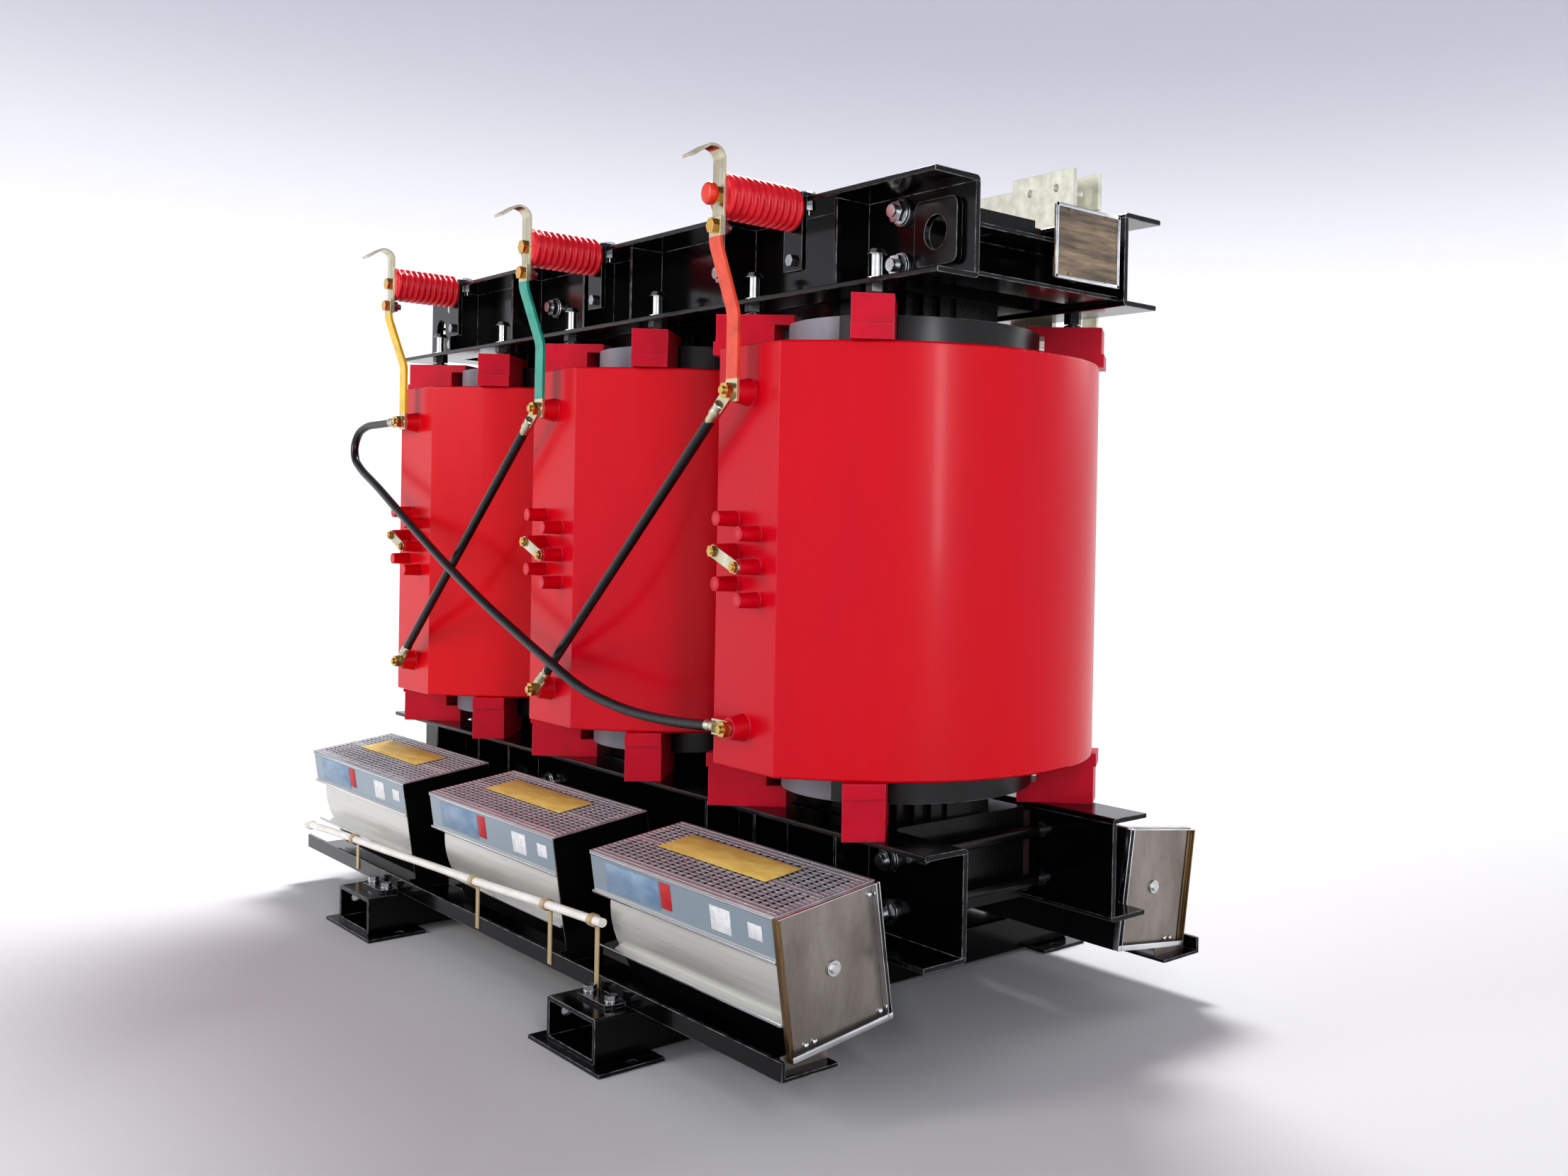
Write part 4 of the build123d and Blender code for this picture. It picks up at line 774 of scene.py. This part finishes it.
@dataclass
class FanDressing:
    """Screen wires, windings, labels, trims and end rims of the six cross-flow fans.

    Attributes:
        stations: X of the middle of each fan in metres.
        base_y: Section origin, distance from the middle plane.
        base_z: Section origin, height.
        tilt_deg: Lean of the casing.
        half_depth: Half of the casing depth.
        height: Height of the casing.
        length: Length of the casing.
        wire_r: Radius of a screen wire.
        wires_along: Gaps between the long wires.
        wires_across: Gaps between the cross wires.
        motor_in: From the casing's left end to the winding's middle.
        motor_up: Height of the motor's axis.
        fold: Thickness of the rims.
        screws: Place of each screw head on a bare end.
    """

    stations: tuple[float, ...] = STATIONS
    base_y: float = 0.315
    base_z: float = 0.0975
    tilt_deg: float = 8.0
    half_depth: float = 0.082
    height: float = 0.202
    length: float = 0.510
    wire_r: float = 0.0008
    wires_along: int = 18
    wires_across: int = 8
    motor_in: float = 0.0215
    motor_up: float = 0.104
    fold: float = 0.0016
    screws: tuple[Range, ...] = ((-0.070, 0.016), (0.056, 0.016), (0.042, 0.016), (-0.070, 0.186))

    def place(self, side: int, x: float, out: float, up: float) -> Matrix:
        """Frame on the casing: X along the fan, Y up the casing, Z outwards.

        Args:
            side: -1 for the front row, 1 for the rear row.
            x: Station along the row.
            out: Distance outwards from the section's middle.
            up: Height in the section.

        Returns:
            The matrix.
        """
        lean = math.radians(self.tilt_deg)
        y = self.base_y + out * math.cos(lean) + up * math.sin(lean)
        z = self.base_z - out * math.sin(lean) + up * math.cos(lean)
        outward = Vector((0, side * math.cos(lean), -math.sin(lean)))
        upward = Vector((0, side * math.sin(lean), math.cos(lean)))
        along = upward.cross(outward)
        turn = Matrix((along, upward, outward)).transposed().to_4x4()
        return Matrix.Translation((x, side * y, z)) @ turn

    def screen(self) -> Piece:
        """Lays fine wires over each inlet.

        Returns:
            The piece.
        """
        shape = bmesh.new()
        top = self.height + 0.0027  # just above the inlet sheet
        short = 0.004
        first_out, first_x = 0.006 - self.half_depth, 0.02 - self.length / 2
        step_out, step_x = -2 * first_out / self.wires_along, -2 * first_x / self.wires_across
        for side in SIDES:
            for station in self.stations:
                for step in range(self.wires_along + 1):
                    out = first_out + step * step_out
                    self.wire(shape, self.place(side, station, out, top), self.length - short,
                            (1, 0, 0))
                for step in range(self.wires_across + 1):
                    x = station + first_x + step * step_x
                    self.wire(shape, self.place(side, x, 0.0, top - self.wire_r),
                            2 * self.half_depth - short, (0, 0, 1))
        return finished("inlet_screens", shape, BRIGHT_TRIM, 70)

    def wire(self, shape: Shape, place: Matrix, length: float, along: Point) -> None:
        """Adds one wire with closed ends.

        Args:
            shape: Mesh to add to.
            place: Middle of the wire.
            length: Its length.
            along: Direction in the place's frame.
        """
        turn = Vector(along).to_track_quat("Z", "Y").to_matrix().to_4x4()
        bmesh.ops.create_cone(shape, cap_ends=True, segments=6, radius1=self.wire_r,
                radius2=self.wire_r,
                              depth=length, matrix=place @ turn)

    def labels(self, name: str, finish: Finish, marks: tuple[tuple[float, ...], ...],
               top: bool = False) -> Piece:
        """Sticks plain labels on the front row's casings.

        Args:
            name: Piece name.
            finish: Paper colour.
            marks: Middle along the fan, middle across, length and width of each label.
            top: True on the inlet, False on the front band.

        Returns:
            The piece.
        """
        shape = bmesh.new()
        front = SIDES[0]
        for station in self.stations:
            for along, across, length, width in marks:
                if top:
                    place = self.place(front, station + along, across, self.height + 0.0037)
                    place = place @ Matrix.Rotation(-math.pi / 2, 4, "X")
                else:
                    place = self.place(front, station + along, self.half_depth + 0.0003, across)
                bar(shape, (length, width, 0.0007), 0.0002, place)
        return finished(name, shape, finish)

    def windings(self) -> Piece:
        """Winds the red coil of each motor.

        Returns:
            The piece.
        """
        shape = bmesh.new()
        ring = [(0.0305, -0.006), (0.034, -0.0075), (0.0375, -0.006), (0.039, 0.0),
                (0.0375, 0.006), (0.034, 0.0075), (0.0305, 0.006), (0.0305, -0.006)]
        for side in SIDES:
            for station in self.stations:
                start = station - self.length / 2 + self.motor_in
                middle = self.place(side, start, 0.0, self.motor_up).translation
                lathe(shape, ring, turned(tuple(middle), (1, 0, 0)), 28)
        return finished("motor_windings", shape, MOTOR_WIRE, 60)

    def trims(self) -> Piece:
        """Runs bright folded strips along the band, the ledge and the outlet lip.

        Returns:
            The piece.
        """
        shape = bmesh.new()
        deep, face = 0.003, self.half_depth
        # band, ledge and lip: place in the section and height of the strip
        strips = ((face + 0.0008, self.height - 0.0015, 0.003), (face + 0.0035, 0.1400, 0.0052),
                  (face + 0.0055, 0.0540, 0.0048))
        for side in SIDES:
            for station in self.stations:
                for out, up, tall in strips:
                    bar(shape, (self.length - 0.002, tall, deep), 0.0008,
                        self.place(side, station, out, up))
        return finished("casing_trims", shape, BRIGHT_TRIM)

    def end_rims(self) -> None:
        """Folds a bright rim round each bare fan end, with a bronzed strip on its outer edge."""
        bright, bronze = bmesh.new(), bmesh.new()
        x = self.stations[-1] + self.length / 2 + 0.0075
        low, tall, half = 0.0035, self.height, self.half_depth + 0.002
        high, middle, wide = tall - low, (low + tall) / 2, 2 * half
        # size along X, up and out; edge radius; place along X, out and up
        tray = (((0.010, high, self.fold), 0.0006, (0.0, -half + 0.0008, middle)),
                ((0.012, high, self.fold), 0.0006, (0.001, -half + 0.0078, middle)),
                ((0.010, self.fold, wide), 0.0006, (0.0, 0.0, low)),
                ((0.003, 0.009, wide), 0.0008, (0.0045, 0.0, low + 0.0035)),
                ((0.009, self.fold, wide), 0.0006, (0.0, 0.0, tall - 0.0010)))
        strip = (((0.011, high, 0.0018), 0.0006, (-0.002, half + 0.0012, middle)),
                 ((0.0014, high, 0.009), 0.0005, (-0.0035, half - 0.0035, middle)))
        head = [(0.0, 0.0045), (0.0022, 0.0042), (0.0038, 0.0028), (0.0040, 0.0004), (0.0040, 0.0),
                (0.0, 0.0)]
        for side in SIDES:
            for shape, folds in ((bright, tray), (bronze, strip)):
                for size, round_off, (ahead, out, up) in folds:
                    bar(shape, size, round_off, self.place(side, x + ahead, out, up))
            for out, up in self.screws:
                spot = self.place(side, x, out, up).translation
                lathe(bright, head, turned((x - 0.0048, spot.y, spot.z), (1, 0, 0)), 14)
        finished("fan_end_rims", bright, BRIGHT_TRIM)
        finished("fan_end_strips", bronze, FAN_STRIP)

    def build(self) -> None:
        """Makes all the fan pieces."""
        self.screen()
        self.windings()
        self.labels("inlet_labels", YELLOW_LABEL, ((-0.02, -0.018, 0.30, 0.062),),
                    top=True)
        self.labels("band_labels_blue", BLUE_LABEL,
                    ((-0.129, 0.171, 0.160, 0.046),))
        self.trims()
        self.end_rims()
        self.labels("band_labels_white", WHITE_LABEL,
                    ((0.118, 0.170, 0.052, 0.036), (0.205, 0.172, 0.034, 0.022)))
        self.labels("band_labels_red", RED_LABEL, ((-0.030, 0.174, 0.030, 0.040),))


@dataclass
class PlateFrame:
    """Bright bevelled rim of the rating plate.

    Attributes:
        rim: Width of the rim in metres.
        thick: Thickness of the rim.
        face_x: Station of the rim's middle.
        short: Gap left at the rim's corners.
    """

    rim: float = 0.0055
    thick: float = 0.0012
    face_x: float = 0.9596
    short: float = 0.001

    def build(self) -> Piece:
        """Fits the rim round the plate's outer face.

        Returns:
            The piece.
        """
        low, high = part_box("rating_plate")
        shape = bmesh.new()
        wide, tall = high.y - low.y, high.z - low.z
        mid_y, mid_z = (low.y + high.y) / 2, (low.z + high.z) / 2
        for sign in (-1, 1):
            post = (self.face_x, mid_y + sign * (wide - self.rim) / 2, mid_z)
            rail = (self.face_x, mid_y, mid_z + sign * (tall - self.rim) / 2)
            bar(shape, (self.thick, self.rim, tall - self.short), 0.0005, Matrix.Translation(post))
            bar(shape, (self.thick, wide - self.short, self.rim), 0.0005, Matrix.Translation(rail))
        return finished("rating_plate_rim", shape, ZINC_PLATE)


@dataclass
class CableFittings:
    """Crimped lug barrels of the delta links and the gland of the fan tube.

    Attributes:
        barrel_r: Barrel radius in metres.
        barrel_length: Barrel length.
        upper: Distance from the middle plane and height of the upper ends.
        lower: The same for the lower ends.
        from_end: Distance from a link's end to its barrel.
        gland_r: Radius of the gland's ribs.
        groove_r: Radius between them.
        gland_at: Distance from the middle plane and height of the gland.
        gland_way: Direction of the gland.
    """

    barrel_r: float = 0.0094
    barrel_length: float = 0.024
    upper: Range = (-0.347, 1.001)
    lower: Range = (-0.342, 0.500)
    from_end: float = 0.030
    gland_r: float = 0.0095
    groove_r: float = 0.0084
    gland_at: Range = (-0.433, 0.128)
    gland_way: Point = (0.188, 0, 0.011)

    def barrels(self) -> Piece:
        """Makes the six barrels.

        Returns:
            The piece.
        """
        shape = bmesh.new()
        slope = Vector((-PITCH, 0.0, self.lower[1] - self.upper[1])).normalized()
        left = Vector((-1, 0, 0))
        ends = [((x, *self.upper), slope) for x in (PITCH, 0.0)] + [((x, *self.lower), -slope)
                for x in (0.0, -PITCH)]
        ends += [((-PITCH, *self.upper), left), ((PITCH, *self.lower), left)]
        full, crimped = self.barrel_r, self.barrel_r - 0.0008
        outline = [(0.0082, 0.0), (full, 0.001), (full, 0.007), (crimped, 0.009), (crimped, 0.013),
                   (full, 0.015), (full, self.barrel_length - 0.001), (0.0081, self.barrel_length)]
        for start, way in ends:
            begin = Vector(start) + way * self.from_end
            lathe(shape, outline, turned(tuple(begin), tuple(way)), 24)
        return finished("lug_barrels", shape, TINNED_COPPER)

    def gland(self) -> Piece:
        """Makes the ribbed gland on the open end of the fan tube.

        Returns:
            The piece.
        """
        low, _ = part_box("fan_conduit")
        shape = bmesh.new()
        rib_r, groove_r = self.gland_r, self.groove_r
        outline = [(0.0, 0.0), (0.0085, 0.0), (rib_r, 0.001)]
        for rib in range(4):
            start = rib * 0.004
            outline += [(rib_r, 0.003 + start), (groove_r, 0.004 + start),
                    (groove_r, 0.006 + start), (rib_r, 0.0068 + start)]
        outline += [(rib_r, 0.021), (0.0074, 0.022)]
        lathe(shape, outline, turned((low.x + 0.0004, *self.gland_at), self.gland_way), 24)
        return finished("tube_gland", shape, WHITE_NYLON)

    def build(self) -> None:
        """Makes both."""
        self.barrels()
        self.gland()


# ---- studio
@dataclass
class Studio:
    """Pale round cove, soft lights and the camera.

    Attributes:
        floor_r: Flat radius of the floor in metres.
        inner_r: Radius of the floor's inner ring of faces.
        bend_steps: Steps of the curve between floor and wall.
        wall_r: Radius of the wall.
        wall_top: Height of the wall.
        eye: Camera position in metres.
        heading_deg: Camera heading, 0 along +Y and 90 along -X.
        pitch_deg: Camera pitch above the horizon.
        roll_deg: Camera roll.
        lens_mm: Focal length.
        sensor_mm: Sensor width.
        shift: Sensor shift across and up.
    """

    floor_r: float = 6.0
    inner_r: float = 2.0
    bend_steps: int = 12
    wall_r: float = 9.5
    wall_top: float = 7.0
    eye: Point = (2.48826, -1.49001, 0.81238)
    heading_deg: float = 43.80
    pitch_deg: float = -0.53
    roll_deg: float = 1.13
    lens_mm: float = 32.73
    sensor_mm: float = 36.0
    shift: Range = (-0.1998, -0.0314)

    def cove(self) -> Piece:
        """Builds the floor that curves up into a wall all round.

        Returns:
            The stage object.
        """
        shape = bmesh.new()
        outline = [(0.0, 0.0), (self.inner_r, 0.0), (self.floor_r, 0.0)]
        bend = self.wall_r - self.floor_r
        for step in range(1, self.bend_steps + 1):
            angle = step / self.bend_steps * math.pi / 2
            outline.append((self.floor_r + bend * math.sin(angle), bend * (1 - math.cos(angle))))
        outline.append((self.wall_r, self.wall_top))
        lathe(shape, outline, Matrix.Identity(4), 96)
        bmesh.ops.recalc_face_normals(shape, faces=shape.faces)
        if min(shape.faces, key=lambda f: f.calc_center_median().length).normal.z < 0:
            bmesh.ops.reverse_faces(shape, faces=shape.faces)
        for face in shape.faces:
            face.smooth = True
        mesh = bpy.data.meshes.new("studio_cove")
        shape.to_mesh(mesh)
        shape.free()
        cove = bpy.data.objects.new("studio_cove", mesh)
        bpy.context.scene.collection.objects.link(cove)
        mesh.materials.append(self.paper())
        return cove

    def paper(self) -> bpy.types.Material:
        """Matt paper: darker on the floor near the object as a painted shade, glowing more away
        from it as painted light, greyer high up and clear from below.

        Returns:
            The material.
        """
        made = bpy.data.materials.new("background_paper")
        made.use_nodes = True
        tree = made.node_tree
        tree.nodes.clear()
        place = add_node(tree, "TexCoord").outputs["Object"]
        height = add_node(tree, "SeparateXYZ", None, {0: place}).outputs[2]
        # distances in metres from the middle of the floor, and heights
        flat = add_node(tree, "VectorMath", PRODUCT, {0: place, 1: (1.0, 1.0, 0.0)})
        radius = add_node(tree, "VectorMath", {"operation": "LENGTH"},
                {0: flat.outputs[0]}).outputs["Value"]
        # painted shade: the floor's colour darkens towards the object
        away = add_node(tree, "MapRange", SMOOTH, {0: radius, 1: 1.4, 2: 5.5})
        rise = add_node(tree, "MapRange", SMOOTH, {0: height, 1: 1.4, 2: 5.2})
        near = add_node(tree, "Mix", COLOURS,
                {0: away.outputs[0], 6: linear("C9C9CA"), 7: linear("E6E6E6")})
        tone = add_node(tree, "Mix", COLOURS,
                {0: rise.outputs[0], 6: near.outputs[2], 7: linear("A6A6B0")})
        # painted light: the paper glows, faintly near the object and more far from it
        glow = add_node(tree, "MapRange", SMOOTH, {0: radius, 1: 1.8, 2: 6.2, 3: 0.02, 4: 0.66})
        fibre = add_node(tree, "TexNoise", None, {"Vector": place, "Scale": 900.0, "Detail": 2.0})
        bump = add_node(tree, "Bump", None, {"Height": fibre.outputs[0], "Distance": 0.00005})
        front = add_node(tree, "BsdfPrincipled", None, {
            "Base Color": tone.outputs[2], "Roughness": 0.85, "Specular IOR Level": 0.2,
            "Normal": bump.outputs[0], "Emission Color": tone.outputs[2],
            "Emission Strength": glow.outputs[0],
        })
        clear = add_node(tree, "BsdfTransparent")
        facing = add_node(tree, "NewGeometry").outputs["Backfacing"]
        both = add_node(tree, "MixShader", None,
                {0: facing, 1: front.outputs[0], 2: clear.outputs[0]})
        add_node(tree, "OutputMaterial", None, {"Surface": both.outputs[0]})
        return made

    def light(self, name: str, at: Point, aim: Point, size: Range, watts: float,
              colour: str) -> None:
        """Hangs one softbox.

        Args:
            name: Light name.
            at: Position in metres.
            aim: Point that it faces.
            size: Width and height.
            watts: Power.
            colour: sRGB hex.
        """
        data = bpy.data.lights.new(name, "AREA")
        data.shape = "RECTANGLE"
        data.size, data.size_y = size
        data.energy = watts
        data.color = linear(colour)[:3]
        lamp = bpy.data.objects.new(name, data)
        lamp.location = at
        lamp.rotation_mode = "QUATERNION"
        lamp.rotation_quaternion = (Vector(aim) - Vector(at)).to_track_quat("-Z", "Y")
        lamp.visible_camera = False
        bpy.context.scene.collection.objects.link(lamp)

    def camera(self) -> None:
        """Places the camera."""
        heading, pitch, roll = (math.radians(a)
                for a in (self.heading_deg, self.pitch_deg, self.roll_deg))
        ahead = Vector((-math.sin(heading) * math.cos(pitch), math.cos(heading) * math.cos(pitch),
                math.sin(pitch)))
        level = Vector((math.cos(heading), math.sin(heading), 0))
        above = level.cross(ahead)
        right = math.cos(roll) * level + math.sin(roll) * above
        up = -math.sin(roll) * level + math.cos(roll) * above
        data = bpy.data.cameras.new("camera")
        data.sensor_fit = "HORIZONTAL"
        data.sensor_width = self.sensor_mm
        data.lens = self.lens_mm
        data.shift_x, data.shift_y = self.shift
        data.clip_end = 60.0
        eye = bpy.data.objects.new("camera", data)
        eye.matrix_world = Matrix.Translation(self.eye) @ Matrix((right, up,
                -ahead)).transposed().to_4x4()
        bpy.context.scene.collection.objects.link(eye)
        bpy.context.scene.camera = eye

    def build(self) -> None:
        """Sets up the whole studio."""
        self.cove()
        self.camera()
        self.light("overhead_softbox", (-1.6, 1.4, 3.8), (0, 0, 0.4), (1.3, 1.0), 210, "FFFFFF")
        self.light("front_softbox", (-1.2, -4.4, 2.4), (0, 0, 0.7), (1.2, 2.2), 80, "FFFDFA")
        self.light("right_strip", (4.2, -1.6, 1.9), (0.5, 0, 0.7), (0.4, 2.6), 46, "F8FAFF")
        self.light("rear_fill", (1.5, 4.5, 2.6), (0, 0, 0.6), (2.6, 2.2), 40, "FFFFFF")
        world = bpy.data.worlds.new("studio_air")
        world.use_nodes = True
        sky = world.node_tree.nodes["Background"]
        sky.inputs["Color"].default_value = linear("9A9AA4")
        sky.inputs["Strength"].default_value = 0.5
        bpy.context.scene.world = world
        view = bpy.context.scene.view_settings
        view.view_transform = "Standard"
        view.look = "Medium High Contrast"


def main() -> None:
    """Dresses the frame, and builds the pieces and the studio."""
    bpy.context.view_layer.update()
    Studio().build()
    CarriedOver().dress()
    for phase in "abc":
        PostInsulator(phase).build()
    CapNut().build()
    BoltStacks().build()
    FanDressing().build()
    PlateFrame().build()
    CableFittings().build()


if __name__ == "__main__":
    main()
